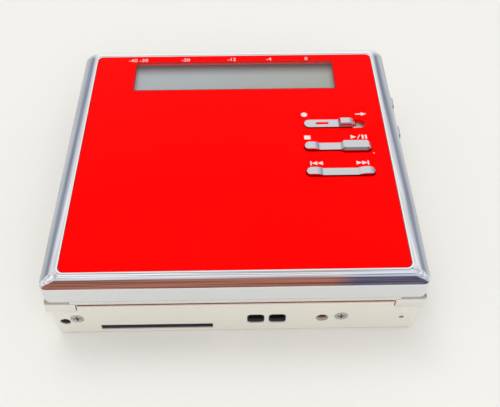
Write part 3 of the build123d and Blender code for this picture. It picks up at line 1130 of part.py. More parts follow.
def fascia_panel():
    """Glossy coloured panel with the display opening and the three key slots."""
    made = slab(PANEL_X, PANEL_Y, PANEL_CORNER, PANEL_CORNER, PANEL_BOTTOM_Z, PANEL_TOP_Z)
    low, high = PANEL_BOTTOM_Z - 1, PANEL_TOP_Z + 1
    width, depth = DISPLAY
    made -= block(-width / 2 - FIT, width / 2 + FIT, DISPLAY_Y - depth / 2 - FIT, DISPLAY_Y + depth / 2 + FIT,
                  low, high)
    made -= stadium(*REC_SLOT, KEY_X, REC_Y, low, high)
    g = 2 * KEY_GAP
    made -= stadium(SKIP_KEY[0] + g, SKIP_KEY[1] + g, KEY_X, SKIP_Y, low, high)
    made -= stadium(PLAY_BAR[0] + g, PLAY_BAR[1] + g, KEY_X, PLAY_Y, low, high)
    return made - play_pad(KEY_GAP, low, high)


def play_pad(grow, z0, z1):
    """The large end of the play key, in plan a rounded rectangle."""
    x = KEY_X + PLAY_BAR[0] / 2 - PLAY_PAD[0] / 2
    half = (PLAY_PAD[0] / 2 + grow, PLAY_PAD[1] / 2 + grow)
    outline = RectangleRounded(2 * half[0], 2 * half[1], half[1] * PAD_ROUND)
    return Pos(x, PLAY_Y, z0) * extrude(outline, z1 - z0)


def display_window():
    """Clear pane over the display."""
    width, depth = DISPLAY
    z1 = PANEL_TOP_Z - SEAM
    made = block(-width / 2, width / 2, DISPLAY_Y - depth / 2, DISPLAY_Y + depth / 2, z1 - PANE_T, z1)
    return chamfer(made.edges().group_by(Axis.Z)[-1], PANE_BREAK)


def lcd_cell():
    """Display glass."""
    z1 = PLATEAU_Z - LCD_LIP_T
    return block(-LCD[0] / 2, LCD[0] / 2, DISPLAY_Y - LCD[1] / 2, DISPLAY_Y + LCD[1] / 2, z1 - LCD[2], z1)


def lcd_frame():
    """Moulded frame that carries the display glass and backs the pane."""
    made = block(-LCD_FRAME_X, LCD_FRAME_X, DISPLAY_Y - LCD_FRAME_Y, DISPLAY_Y + LCD_FRAME_Y,
                 LID_BOARD_TOP_Z + FIT, PLATEAU_Z)
    half_x, half_y = LCD[0] / 2 + SNUG, LCD[1] / 2 + SNUG
    made -= block(-half_x, half_x, DISPLAY_Y - half_y, DISPLAY_Y + half_y, 0, PLATEAU_Z - LCD_LIP_T + TIGHT)
    half_x, half_y = DISPLAY[0] / 2 - LCD_SIGHT, DISPLAY[1] / 2 - LCD_SIGHT
    return made - block(-half_x, half_x, DISPLAY_Y - half_y, DISPLAY_Y + half_y, 0, PANEL_TOP_Z)


def switch_board():
    """Board under the display and the keys."""
    y1 = DISPLAY_Y + LCD_FRAME_Y
    made = block(-LCD_FRAME_X, LCD_FRAME_X, DISPLAY_Y - BOARD_UNDER_DISPLAY, y1, LID_BOARD_Z, LID_BOARD_TOP_Z)
    return made + block(*KEY_BAY_X, KEY_BAY_Y[0], y1 - 2, LID_BOARD_Z, LID_BOARD_TOP_Z)


def key_places():
    """Centres of the four key domes."""
    return [(KEY_X + side * PLUNGER_X, y) for y in (PLAY_Y, SKIP_Y) for side in (-1, 1)]


def key_domes():
    """Snap domes under the two rocker keys."""
    ball_r = (DOME_R ** 2 + DOME_H ** 2) / (2 * DOME_H)
    cap = Pos(0, 0, DOME_H - ball_r) * Sphere(ball_r) & disc(DOME_R, 0, 0, 0, DOME_H)
    return Compound([Pos(x, y, LID_BOARD_TOP_Z) * cap for x, y in key_places()])


def key_frame():
    """Moulded frame that holds the keys: wells over the domes and a rocking rib under each key."""
    z0, z1 = LID_BOARD_TOP_Z + FIT, KEY_FLANGE_Z - PRESS - FRAME_GAP
    y1 = REC_Y - TRACK_FRAME[1] / 2 - SEAM
    made = block(KEY_BAY_X[0] + SEAM, KEY_BAY_X[1] - SEAM, KEY_BAY_Y[0] + SEAM, y1, z0, z1)
    for x, y in key_places():
        made -= disc(DOME_R + GAP, x, y, z0 - 1, z1 + 1)
    half_x, half_y = RIB[0] / 2, RIB[1] / 2
    for y in (PLAY_Y, SKIP_Y):
        made += block(KEY_X - half_x, KEY_X + half_x, y - half_y, y + half_y, z1 - FIT, KEY_FLANGE_Z - FIT)
    return made


def rec_track():
    """Bright channel that the record slider runs in."""
    z0 = LID_BOARD_TOP_Z + FIT
    outline = RectangleRounded(*TRACK_FRAME, TRACK_CORNER)
    return Pos(KEY_X, REC_Y, z0) * extrude(outline, TRACK_TOP_Z - z0)


def rec_slider():
    """Record slider: flange under the panel, plate in the slot, sloped finger knob and a mark recess."""
    length, width = REC_PLATE
    x0 = KEY_X - REC_SLOT[0] / 2 + GAP
    x1 = x0 + length
    over_x, over_y = REC_FLANGE
    half = width / 2 + over_y
    made = block(x0 - over_x, x1 + over_x, REC_Y - half, REC_Y + half, *REC_FLANGE_Z)
    made += stadium(length, width, x0 + length / 2, REC_Y, REC_FLANGE_Z[1] - FIT, REC_PLATE_Z)
    high, low = REC_KNOB_Z
    end, foot, crest, inner = REC_KNOB_STEPS
    start = x1 - REC_KNOB[0]
    base_z = REC_PLATE_Z - SEAM
    outline = [(start, base_z), (x1 - end, base_z), (x1 - foot, low), (x1 - crest, high),
               (start + inner, high)]
    knob = xz_prism(outline, REC_Y - REC_KNOB[1] / 2, REC_Y + REC_KNOB[1] / 2)
    made += chamfer(knob.edges().filter_by(Axis.X).group_by(Axis.Z)[-1], REC_KNOB_BREAK)
    return made - rec_mark_box(0.0, 1.0)


def rec_mark_box(shrink, extra):
    """Box of the mark in the slider's plate."""
    x = KEY_X - REC_SLOT[0] / 2 + REC_MARK_X
    length, width, depth = REC_MARK
    return block(x - length / 2 + shrink, x + length / 2 - shrink, REC_Y - width / 2 + shrink,
                 REC_Y + width / 2 - shrink, REC_PLATE_Z - depth, REC_PLATE_Z + extra)


def rec_mark():
    """Coloured inlay of the record slider."""
    return rec_mark_box(SNUG, -FIT)


def plunger(x, y):
    """Post under a key that presses its dome."""
    low = LID_BOARD_TOP_Z + DOME_H + PRESS + FIT
    return disc(PLUNGER_R, x, y, low, KEY_FLANGE_Z + FIT)


def rocker(size, y):
    """Flange, upright bar and plungers that both rocker keys share."""
    length, width = size
    made = stadium(length + 2 * KEY_FLANGE, width + 2 * KEY_FLANGE, KEY_X, y, KEY_FLANGE_Z, KEY_FLANGE_TOP)
    made += stadium(length, width, KEY_X, y, KEY_FLANGE_TOP - FIT, KEY_MID_Z)
    for side in (-1, 1):
        made += plunger(KEY_X + side * PLUNGER_X, y)
    return made


def end_hump(x0, x1, size, y):
    """A raised end of a key: the bar's own plan with an arched top."""
    length, width = size
    foot_z = KEY_MID_Z + HUMP_FOOT
    bar = stadium(length, width, KEY_X, y, KEY_MID_Z - FIT, KEY_END_Z + 1)
    top = ThreePointArc((x0, 0, foot_z), ((x0 + x1) / 2, 0, KEY_END_Z), (x1, 0, foot_z))
    foot = Polyline((x1, 0, foot_z), (x1, 0, KEY_MID_Z - SEAM), (x0, 0, KEY_MID_Z - SEAM), (x0, 0, foot_z))
    return bar & Pos(0, y - width, 0) * extrude(make_face([top, foot]), 2 * width, dir=(0, 1, 0))


def skip_key():
    """Rocker key with a raised end each side."""
    end = SKIP_KEY[0] / 2 + GAP
    made = rocker(SKIP_KEY, SKIP_Y)
    made += end_hump(KEY_X - end, KEY_X - end + HUMP_L, SKIP_KEY, SKIP_Y)
    return made + end_hump(KEY_X + end - HUMP_L, KEY_X + end, SKIP_KEY, SKIP_Y)


def play_stop_key():
    """Rocker key: a low bar with a small hump at the stop end and a large faceted pad at the play end."""
    made = rocker(PLAY_BAR, PLAY_Y)
    made += play_pad(0, KEY_FLANGE_TOP - FIT, PAD_TOP_Z)
    top = made.faces().filter_by(Axis.Z).sort_by(Axis.Z)[-1]
    made = chamfer(top.edges(), PAD_BREAK)
    made += play_pad(KEY_FLANGE, KEY_FLANGE_Z, KEY_FLANGE_TOP)
    x0 = KEY_X - PLAY_BAR[0] / 2 - GAP
    return made + end_hump(x0, x0 + PLAY_HUMP_L, PLAY_BAR, PLAY_Y)


def side_stadium(grow, y, x0, x1):
    """A stadium lying along Y in the lid's right wall, pushed through from x0 to x1."""
    length, height = SIDE_BUTTON
    plane = Plane(origin=(x0, y, SIDE_BUTTON_Z), x_dir=(0, 1, 0), z_dir=(1, 0, 0))
    return extrude(plane * SlotOverall(length + 2 * grow, height + 2 * grow), x1 - x0)


def side_button(y):
    """Long button in the lid's right wall, held by an inner flange."""
    flange, thick = SIDE_BUTTON_FLANGE
    x0 = LID_IN_X - flange
    made = side_stadium(0, y, x0 - SEAM, LID_X + SIDE_BUTTON_OUT)
    made = fillet(made.faces().sort_by(Axis.X)[-1].edges(), SIDE_BUTTON_ROUND)
    return made + side_stadium(flange, y, x0 - thick, x0)


def side_switches():
    """Two small push switches behind the side buttons."""
    low, high = SIDE_SWITCH_Z
    made = []
    for y in SIDE_BUTTON_Y.values():
        body = block(*SIDE_SWITCH_X, y - SIDE_SWITCH_HALF, y + SIDE_SWITCH_HALF, SIDE_BUTTON_Z + low,
                     SIDE_BUTTON_Z + high)
        made.append(fillet(body.edges().filter_by(Axis.X), SIDE_SWITCH_ROUND))
    return Compound(made)


def lid_plate():
    """Inner cover of the lid, notched round the hinge and the side switches."""
    half_x = LID_IN_X - GAP
    near = HINGE_Y + NECK_OFFSET + NECK_T + PLATE_NEAR_GAP
    low, high = PLATE_Z - 1, PLATE_Z + 1
    made = block(-half_x, half_x, near, LID_IN_Y - CORNER_FAR + LID_WALL, PLATE_Z, PLATE_Z + PLATE_T)
    reach = SIDE_BUTTON[0] / 2 + PLATE_NEAR_GAP
    y_low, y_high = min(SIDE_BUTTON_Y.values()) - reach, max(SIDE_BUTTON_Y.values()) + reach
    made -= block(SIDE_SWITCH_X[0] - FIT, LID_X, y_low, y_high, low, high)
    for x, y in LID_SCREWS:
        made -= disc(SMALL_SHANK_R + SEAM, x, y, low, high)
    reach = KNOB[1] / 2 + GAP
    return made - block(SKIRT_IN - PLATE_SKIRT_GAP, LID_X, KNOB_Y - reach, KNOB_Y + reach, low, high)


def lid_screws():
    """Four flat screws that hold the lid's inner cover."""
    head_r, head_t, length = LID_SCREW
    body = disc(head_r, 0, 0, -head_t, 0) + disc(SMALL_SHANK_R, 0, 0, -FIT, length)
    body -= Rot(180, 0, 0) * cross_recess(head_t)
    return Compound([Pos(x, y, PLATE_Z) * body for x, y in LID_SCREWS])


def latch_strike():
    """Bent strike under the lid's right wall that the hook catches."""
    x0, x1 = SKIRT_OUT - HOOK_T, SKIRT_OUT
    y1 = KNOB_Y + HOOK_BACK - HOOK_REACH - GAP
    z0 = RIM_TOP_Z + GAP
    near, far, low, high = STRIKE_EYE
    made = block(x0, x1, y1 - STRIKE_L, y1, z0, LID_SHEET_Z)
    return made - block(x0 - 1, x1 + 1, y1 - far, y1 - near, z0 + low, z0 + high)


def open_knob():
    """Ribbed slide knob on the right side of the frame."""
    depth, length, height = KNOB
    x0, x1 = KNOB_FACE_X, KNOB_FACE_X + depth
    y0, y1 = KNOB_Y - length / 2, KNOB_Y + length / 2
    made = block(x0, x1, y0, y1, KNOB_Z - height / 2, KNOB_Z + height / 2)
    made = fillet(made.edges().filter_by(Axis.X), KNOB_CORNER)
    made = chamfer(made.faces().sort_by(Axis.X)[-1].edges(), KNOB_BREAK)
    width, groove, pitch = KNOB_RIB
    for step in range(KNOB_RIBS):
        y = KNOB_Y + (step - (KNOB_RIBS - 1) / 2) * pitch
        made -= block(x1 - groove, x1 + 1, y - width / 2, y + width / 2, KNOB_Z - height, KNOB_Z + height)
    half = KNOB_SLOT_H / 2
    made += block(SKIRT_OUT + FIT, x0 + SEAM, y0 + KNOB_NECK, y1 - KNOB_NECK, KNOB_Z - half, KNOB_Z + half)
    return made


def latch_hook():
    """Steel hook plate fixed to the knob's neck inside the skirt."""
    x0, x1 = SKIRT_OUT - HOOK_T, SKIRT_OUT
    y0, y1 = KNOB_Y - KNOB[1] / 2 + HOOK_END, KNOB_Y + KNOB[1] / 2 - HOOK_END
    top = RIM_TOP_Z - GAP
    made = block(x0, x1, y0, y1, KNOB_Z - KNOB_SLOT_H / 2, top)
    back = KNOB_Y + HOOK_BACK
    front, tip = back - HOOK_W, back - HOOK_REACH
    low, point, high, heel = HOOK_NOSE
    outline = [(back, top - SEAM), (front, top - SEAM), (front, top + low), (tip, top + point),
               (front, top + high), (back, top + heel)]
    return made + yz_prism(outline, x0, x1)


# ================================================================= all pieces

def pieces():
    """Every node by name."""
    parts = [bottom_cover, mid_frame, hinge_pins, face_screws, bottom_screws, board_nuts, main_board,
             board_chips, slot_socket, socket_block, dock_contacts, threaded_insert, battery, battery_tray,
             battery_spring, battery_door, door_contact, deck_plate, deck_dampers, damper_screws,
             spindle_motor, spindle_shaft, turntable, chuck_magnet, guide_rods, sled_motor, lead_screw,
             pickup_sled, objective_lens, screw_follower, head_strap, head_arm, recording_head,
             disc_holder, holder_spring, lid_bezel, lid_frame, fascia_panel, display_window, lcd_cell,
             lcd_frame, switch_board, key_domes, key_frame, rec_track, rec_slider, rec_mark, skip_key,
             play_stop_key, side_switches, lid_plate, lid_screws, latch_strike, open_knob, latch_hook]
    made = {part.__name__: part() for part in parts}
    for name, y in JACK_Y.items():
        made[name] = jack(y)
    for name, y in SIDE_BUTTON_Y.items():
        made[name] = side_button(y)
    return made


def main():
    """Builds every piece and writes its STEP file."""
    os.makedirs("parts", exist_ok=True)
    for name, shape in pieces().items():
        shape.label = name
        export_step(shape, f"parts/{name}.step")


if __name__ == "__main__":
    main()
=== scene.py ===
"""Portable minidisc recorder with a red lid: finishes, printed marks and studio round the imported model."""

from __future__ import annotations

import logging
import math
from collections.abc import Callable, Sequence
from dataclasses import dataclass
from enum import Enum

import bpy
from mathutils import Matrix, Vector


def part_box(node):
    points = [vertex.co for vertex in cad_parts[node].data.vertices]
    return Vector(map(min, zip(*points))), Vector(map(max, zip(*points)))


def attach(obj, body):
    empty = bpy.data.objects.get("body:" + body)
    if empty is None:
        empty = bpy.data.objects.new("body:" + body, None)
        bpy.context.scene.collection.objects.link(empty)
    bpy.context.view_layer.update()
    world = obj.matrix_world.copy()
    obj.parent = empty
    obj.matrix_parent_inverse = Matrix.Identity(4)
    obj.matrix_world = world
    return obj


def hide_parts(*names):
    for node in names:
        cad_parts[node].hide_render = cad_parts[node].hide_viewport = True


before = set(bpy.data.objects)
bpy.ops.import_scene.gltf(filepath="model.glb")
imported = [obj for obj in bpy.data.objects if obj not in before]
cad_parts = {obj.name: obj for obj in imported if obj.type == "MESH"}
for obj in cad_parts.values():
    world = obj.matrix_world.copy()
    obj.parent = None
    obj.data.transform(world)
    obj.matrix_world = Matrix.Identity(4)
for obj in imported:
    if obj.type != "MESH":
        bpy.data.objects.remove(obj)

log = logging.getLogger("recorder")

MM = 0.001
# Edges that turn less than this are shaded smooth.
GENTLE_ANGLE = math.radians(28)
# Metres between loops while they are bridged.
TOWER_STEP = 0.05
# How far inside the outermost vertices, in millimetres, a test that selects them lies.
SELECT_SLACK = 0.01
# Vertices of a printed text that lie closer than this, in metres, are merged.
WELD_DISTANCE = 1e-6
# The sRGB curve: a straight foot up to its knee, then a power.
SRGB_KNEE = 0.04045
SRGB_FOOT = 12.92
SRGB_SHIFT = 0.055
SRGB_POWER = 2.4
# The noise that draws every grain: its octaves, and how fast they fade.
GRAIN_DETAIL = 3.0
GRAIN_FADE = 0.55


# ------------------------------------------------------------------ node and colour helpers


def linear(hex_code: str) -> tuple[float, float, float, float]:
    """Turns an sRGB hex colour into linear light.

    Args:
        hex_code: Six hex digits with a leading hash.

    Returns:
        Red, green, blue and an alpha of 1, in linear light.
    """
    values = [int(hex_code[i : i + 2], 16) / 255 for i in (1, 3, 5)]
    light = [
        v / SRGB_FOOT if v <= SRGB_KNEE else ((v + SRGB_SHIFT) / (1 + SRGB_SHIFT)) ** SRGB_POWER
        for v in values
    ]
    return (light[0], light[1], light[2], 1.0)


def add_node(
    tree: bpy.types.NodeTree,
    kind: str,
    inputs: dict[str | int, object] | None = None,
    **settings: object,
) -> bpy.types.Node:
    """Adds a shader node, sets it up and links what feeds it.

    Args:
        tree: The node tree that gets the node.
        kind: Blender's name for the node type.
        inputs: Values, or output sockets to link from, by input name or number.
        **settings: Attributes to set on the node itself.

    Returns:
        The new node.
    """
    node = tree.nodes.new(kind)
    for name, value in settings.items():
        setattr(node, name, value)
    for name, value in (inputs or {}).items():
        if isinstance(value, bpy.types.NodeSocket):
            tree.links.new(value, node.inputs[name])
        else:
            node.inputs[name].default_value = value
    return node


def mix_colours(
    tree: bpy.types.NodeTree,
    share: object,
    first: object,
    second: object,
    blend: str = "MIX",
) -> bpy.types.NodeSocket:
    """Mixes two colours.

    Args:
        tree: The node tree that gets the node.
        share: How much of the second there is, as a value or a socket.
        first: The first colour, as a value or a socket.
        second: The second colour, as a value or a socket.
        blend: Blender's name for the way they mix.

    Returns:
        The mixed colour.
    """
    node = add_node(
        tree,
        "ShaderNodeMix",
        {0: share, 6: first, 7: second},
        data_type="RGBA",
        blend_type=blend,
    )
    return node.outputs[2]


def map_range(
    tree: bpy.types.NodeTree,
    value: bpy.types.NodeSocket,
    source: tuple[float, float] = (0.0, 1.0),
    target: tuple[float, float] = (0.0, 1.0),
    curve: str = "LINEAR",
) -> bpy.types.NodeSocket:
    """Maps a value from one range to another, and holds it inside the second.

    Args:
        tree: The node tree that gets the node.
        value: The value to map.
        source: The range that it comes from.
        target: The range that it goes to.
        curve: Blender's name for how it runs between the ends.

    Returns:
        The mapped value.
    """
    ends = {
        "Value": value,
        "From Min": source[0],
        "From Max": source[1],
        "To Min": target[0],
        "To Max": target[1],
    }
    return add_node(tree, "ShaderNodeMapRange", ends, interpolation_type=curve).outputs[0]


class Grain(Enum):
    """How a surface was finished, as the stretch of its noise pattern along X, Y and Z."""

    EVEN = (1.0, 1.0, 1.0)
    BRUSHED_X = (0.04, 1.0, 1.0)


# ------------------------------------------------------------------ finishes


@dataclass(frozen=True)
class Finish:
    """A surface whose colour, gloss and bump vary with a fine grain.

    The grain's size is a real one in millimetres. Where the real grain is too fine to show, it is
    drawn at the smallest size that does, about 0.2 mm.
    """

    name: str
    colour: str
    shade: str
    roughness: tuple[float, float]
    metallic: float = 0.0
    ior: float = 1.5
    specular: float = 0.5
    coat: float = 0.0
    grain_mm: float = 0.3
    bump_mm: float = 0.004
    grain: Grain = Grain.EVEN

    def material(self) -> bpy.types.Material:
        """Makes the node material.

        Returns:
            The new material.
        """
        made = bpy.data.materials.new(self.name)
        made.use_nodes = True
        tree = made.node_tree
        tree.nodes.clear()
        shader = self.shader(tree)
        add_node(tree, "ShaderNodeOutputMaterial", {"Surface": shader.outputs[0]})
        return made

    def pattern(self, tree: bpy.types.NodeTree) -> bpy.types.NodeSocket:
        """Adds the grain, as a value from 0 to 1."""
        place = add_node(tree, "ShaderNodeTexCoord")
        turned = add_node(
            tree,
            "ShaderNodeMapping",
            {"Vector": place.outputs["Object"], "Scale": self.grain.value},
        )
        scale = 1 / (self.grain_mm * MM)
        noise = add_node(
            tree,
            "ShaderNodeTexNoise",
            {
                "Vector": turned.outputs[0],
                "Scale": scale,
                "Detail": GRAIN_DETAIL,
                "Roughness": GRAIN_FADE,
            },
        )
        return noise.outputs["Fac"]

    def shader(self, tree: bpy.types.NodeTree) -> bpy.types.Node:
        """Adds the surface shader with its colour, gloss and bump.

        Args:
            tree: The material's node tree.

        Returns:
            The shader node.
        """
        grain = self.pattern(tree)
        bump = add_node(
            tree,
            "ShaderNodeBump",
            {"Height": grain, "Distance": self.bump_mm * MM, "Strength": 1.0},
        )
        settings = {
            "Base Color": mix_colours(tree, grain, linear(self.shade), linear(self.colour)),
            "Roughness": map_range(tree, grain, target=self.roughness),
            "Metallic": self.metallic,
            "Normal": bump.outputs[0],
            "Specular IOR Level": self.specular,
            "Coat Weight": self.coat,
        }
        if self.metallic < 1:
            settings["IOR"] = self.ior
        return add_node(tree, "ShaderNodeBsdfPrincipled", settings)


@dataclass(frozen=True)
class ClearPane(Finish):
    """A thin clear acrylic window: what is under it shows, with a faint gloss on top."""

    cover: float = 0.1

    def shader(self, tree: bpy.types.NodeTree) -> bpy.types.Node:
        """Adds the surface shader, mostly see-through."""
        shader = super().shader(tree)
        shader.inputs["Alpha"].default_value = self.cover
        return shader


@dataclass(frozen=True)
class ShadedCell(Finish):
    """A display whose far edge holds a painted shadow, for the shade the red panel casts through its depth.

    Its tint runs from left to right over twice half_mm. The painted shadow sets in fade_mm before far_mm.
    """

    painted_shadow: str = "#5E3C40"
    left: str = "#B2BBC4"
    right: str = "#A6A79E"
    tint_share: float = 0.7
    half_mm: float = 26.0
    far_mm: float = 32.4
    fade_mm: float = 5.2

    def shader(self, tree: bpy.types.NodeTree) -> bpy.types.Node:
        """Adds the surface shader, its colour tinted along X and darkened along Y by a painted shadow."""
        shader = super().shader(tree)
        grey = shader.inputs["Base Color"].links[0].from_socket
        place = add_node(tree, "ShaderNodeTexCoord")
        along = add_node(tree, "ShaderNodeSeparateXYZ", {0: place.outputs["Object"]})
        half = self.half_mm * MM
        across = map_range(tree, along.outputs["X"], (-half, half))
        tint = mix_colours(tree, across, linear(self.left), linear(self.right))
        tinted = mix_colours(tree, self.tint_share, grey, tint)
        # Painted shadow: the colour darkens over the last fade_mm before the far edge.
        fade = ((self.far_mm - self.fade_mm) * MM, self.far_mm * MM)
        painted_shadow = map_range(tree, along.outputs["Y"], fade, curve="SMOOTHSTEP")
        shaded = mix_colours(tree, painted_shadow, tinted, linear(self.painted_shadow))
        tree.links.new(shaded, shader.inputs["Base Color"])
        return shader


FINISHES = {
    # Acrylic-faced panel, printed red underneath: deep even colour under a smooth glossy face.
    "fascia_red": Finish(
        "Red acrylic facing", "#FE0000", "#FC0000", (0.12, 0.18), specular=0.03, bump_mm=0.0
    ),
    # Aluminium cut bright and plated: a mirror that picks up the room.
    "polished_metal": Finish(
        "Polished plated aluminium", "#F7F7FA", "#F1F1F5", (0.02, 0.05), 1.0, bump_mm=0.0
    ),
    # Bead-blasted anodised aluminium: a soft grey sheen with fine speckle.
    "satin_lid": Finish("Satin anodised aluminium", "#E4E6E7", "#D9DBDC", (0.34, 0.44), 0.7, grain_mm=0.35),
    # Pale champagne paint on a pressed magnesium shell.
    "satin_case": Finish("Champagne satin paint", "#EAE7DE", "#E2DFD5", (0.34, 0.44), 0.4, grain_mm=0.4),
    # Machined and lacquered die casting.
    "cast_frame": Finish("Lacquered die casting", "#EAE8E4", "#E2E0DA", (0.12, 0.2), 0.8, grain_mm=0.5),
    # Zinc die-cast keys with a satin nickel plate.
    "key_metal": Finish(
        "Satin nickel plate", "#D6D9E0", "#CED1D9", (0.16, 0.24), 1.0, grain_mm=0.25, bump_mm=0.0
    ),
    # Rolled steel floor of the record slider's track: its near-white, mostly non-metal colour is a painted
    # reflection that lights the deep pocket.
    "track_metal": Finish(
        "Rolled steel with painted reflection", "#F6F2F0", "#EEEAE8", (0.12, 0.2), 0.2, grain=Grain.BRUSHED_X
    ),
    # Reflective twisted-nematic cell: a faintly green grey, with a painted shadow towards its far edge.
    "display_glass": ShadedCell(
        "Liquid crystal cell", "#AEB4B2", "#A9AFAC", (0.22, 0.28), specular=0.3, bump_mm=0.0
    ),
    "black_plastic": Finish("Black moulded ABS", "#1D1D1F", "#151516", (0.42, 0.55), grain_mm=0.35),
    "ivory_plastic": Finish("Natural acetal", "#D9D4C4", "#CEC8B6", (0.35, 0.45), grain_mm=0.4),
    "spring_steel": Finish(
        "Rolled spring steel", "#B9BBBC", "#A9ABAC", (0.26, 0.38), 1.0, grain=Grain.BRUSHED_X
    ),
    "steel": Finish("Nickel-plated steel", "#C9C9C6", "#B8B8B4", (0.22, 0.32), 1.0),
    "dark_steel": Finish("Black oxide steel", "#4A4A4C", "#3A3A3C", (0.32, 0.45), 1.0),
    "magnesium": Finish("Cast magnesium", "#A7A8A6", "#8F908E", (0.42, 0.55), 0.9, grain_mm=0.6),
    "brass": Finish("Turned brass", "#C9A35E", "#B08A48", (0.24, 0.36), 1.0),
    "gold_contact": Finish("Gold-plated contact", "#D9B45A", "#C9A24A", (0.18, 0.28), 1.0),
    "board_green": Finish("Green solder mask", "#1F5A3A", "#17462D", (0.30, 0.42), coat=0.3, grain_mm=1.2),
    # Thin bead whose warm tone is a painted reflection.
    "warm_edge": Finish("Bead with painted warm reflection", "#E4C0B2", "#DAB6A8", (0.22, 0.3), 0.35, bump_mm=0.0),
    # The sleeves round the sockets are a lighter grey than the black parts: painted light, for the light
    # they catch.
    "sleeve_grey": Finish("Sleeve grey with painted light", "#4A464E", "#403C46", (0.35, 0.5), grain_mm=0.3),
    "chip_black": Finish("Moulded epoxy", "#202022", "#17171A", (0.55, 0.7), grain_mm=0.25),
    "rubber": Finish("Butyl rubber", "#2A2A2B", "#202021", (0.65, 0.8), grain_mm=0.4),
    "lens_glass": Finish(
        "Coated lens glass", "#31405E", "#2A3854", (0.04, 0.07), ior=1.6, coat=0.6, bump_mm=0.0
    ),
    "battery_wrap": Finish("Printed film sleeve", "#4C5F78", "#43556C", (0.30, 0.40), grain_mm=0.8),
    "magnet": Finish("Nickel-plated magnet", "#A7A59F", "#97958F", (0.2, 0.3), 1.0),
    # Thin hard-coated acrylic over the display.
    "clear_pane": ClearPane("Clear acrylic window", "#9AA09C", "#949A96", (0.06, 0.1), bump_mm=0.0),
}
# Silk-screened ink, pale on the panel; the dark red ring round the window is painted shade of the window's
# recess.
INK = Finish("White screen ink", "#FFDAD6", "#F8CFCB", (0.45, 0.6), specular=0.1, grain_mm=0.2)
PAINTED_WINDOW_SHADE = Finish("Dark red painted window shade", "#A0181C", "#981519", (0.4, 0.5), specular=0.1, grain_mm=0.2)
TABLETOP = Finish("Warm white card", "#E5E4DF", "#E3E2DD", (0.7, 0.8), grain_mm=2.0, bump_mm=0.0)
# Nodes that take another slot's finish: the display's frame is moulded in the grey of its cell, and takes
# the cell's painted shadow too.
BORROWED = {"lcd_frame": "display_glass"}


class Materials:
    """Makes each finish once and hands it out."""

    def __init__(self) -> None:
        """Starts with nothing made."""
        self.made: dict[str, bpy.types.Material] = {}

    def of(self, finish: Finish) -> bpy.types.Material:
        """The material of a finish, made on first use."""
        if finish.name not in self.made:
            self.made[finish.name] = finish.material()
        return self.made[finish.name]

    def dress_nodes(self) -> None:
        """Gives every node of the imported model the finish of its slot."""
        for name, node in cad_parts.items():
            for place in node.material_slots:
                slot = BORROWED.get(name, place.material.name.split(".")[0])
                place.material = self.of(FINISHES[slot])
            log.info("dressed %s", name)


# ------------------------------------------------------------------ mesh helpers


def deselect() -> None:
    """Leaves nothing selected, in object mode."""
    if bpy.context.object and bpy.context.object.mode != "OBJECT":
        bpy.ops.object.mode_set(mode="OBJECT")
    bpy.ops.object.select_all(action="DESELECT")


def select_vertices(piece: bpy.types.Object, test: Callable[[Vector], bool]) -> None:
    """Selects, in edit mode, the vertices whose place passes the test."""
    bpy.ops.object.mode_set(mode="OBJECT")
    bpy.context.tool_settings.mesh_select_mode = (True, False, False)
    for part in (piece.data.polygons, piece.data.edges):
        for element in part:
            element.select = False
    for vertex in piece.data.vertices:
        vertex.select = test(vertex.co)
    bpy.ops.object.mode_set(mode="EDIT")


def select_groups(*groups: str) -> None:
    """Selects, in edit mode, only the vertices of these groups."""
    bpy.ops.mesh.select_all(action="DESELECT")
    for group in groups:
        bpy.ops.object.vertex_group_set_active(group=group)
        bpy.ops.object.vertex_group_select()


def finish_piece(
    piece: bpy.types.Object,
    name: str,
    body: str,
    material: bpy.types.Material,
) -> None:
    """Names a finished piece, dresses it and lets it ride on its body.

    Args:
        piece: The finished mesh object.
        name: Its name.
        body: The body that it moves with.
        material: What it is made of.
    """
    deselect()
    piece.select_set(True)
    bpy.context.view_layer.objects.active = piece
    bpy.ops.object.transform_apply(location=True, rotation=True, scale=True)
    piece.name = name
    piece.data.name = name
    piece.data.materials.clear()
    piece.data.materials.append(material)
    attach(piece, body)
    log.info("built %s: %d faces", name, len(piece.data.polygons))


@dataclass(frozen=True)
class Loop:
    """A rounded rectangle in plan: half sizes, height and corner radii, in millimetres."""

    half_x: float
    half_y: float
    z: float
    near: float
    far: float

    def draw(self, group: str, steps: int, height: float) -> bpy.types.Object:
        """Draws the loop as bare edges: a plane with its corners bevelled and its face taken out.

        Args:
            group: Name of the vertex group that holds the loop.
            steps: Segments in each corner.
            height: Height to draw it at, in metres.

        Returns:
            The loop as an object.
        """
        deselect()
        bpy.ops.mesh.primitive_plane_add(size=2, location=(0, 0, height))
        drawn = bpy.context.object
        bpy.ops.object.mode_set(mode="EDIT")
        bpy.ops.transform.resize(value=(self.half_x * MM, self.half_y * MM, 1))
        for side, radius in ((-1, self.near), (1, self.far)):
            edge = (self.half_y - SELECT_SLACK) * MM
            select_vertices(drawn, lambda p, s=side: p.y * s > edge)
            bpy.ops.mesh.bevel(offset=radius * MM, segments=steps, affect="VERTICES")
        bpy.ops.mesh.select_all(action="SELECT")
        bpy.ops.mesh.delete(type="ONLY_FACE")
        bpy.ops.object.mode_set(mode="OBJECT")
        drawn.vertex_groups.new(name=group).add(range(len(drawn.data.vertices)), 1.0, "REPLACE")
        return drawn


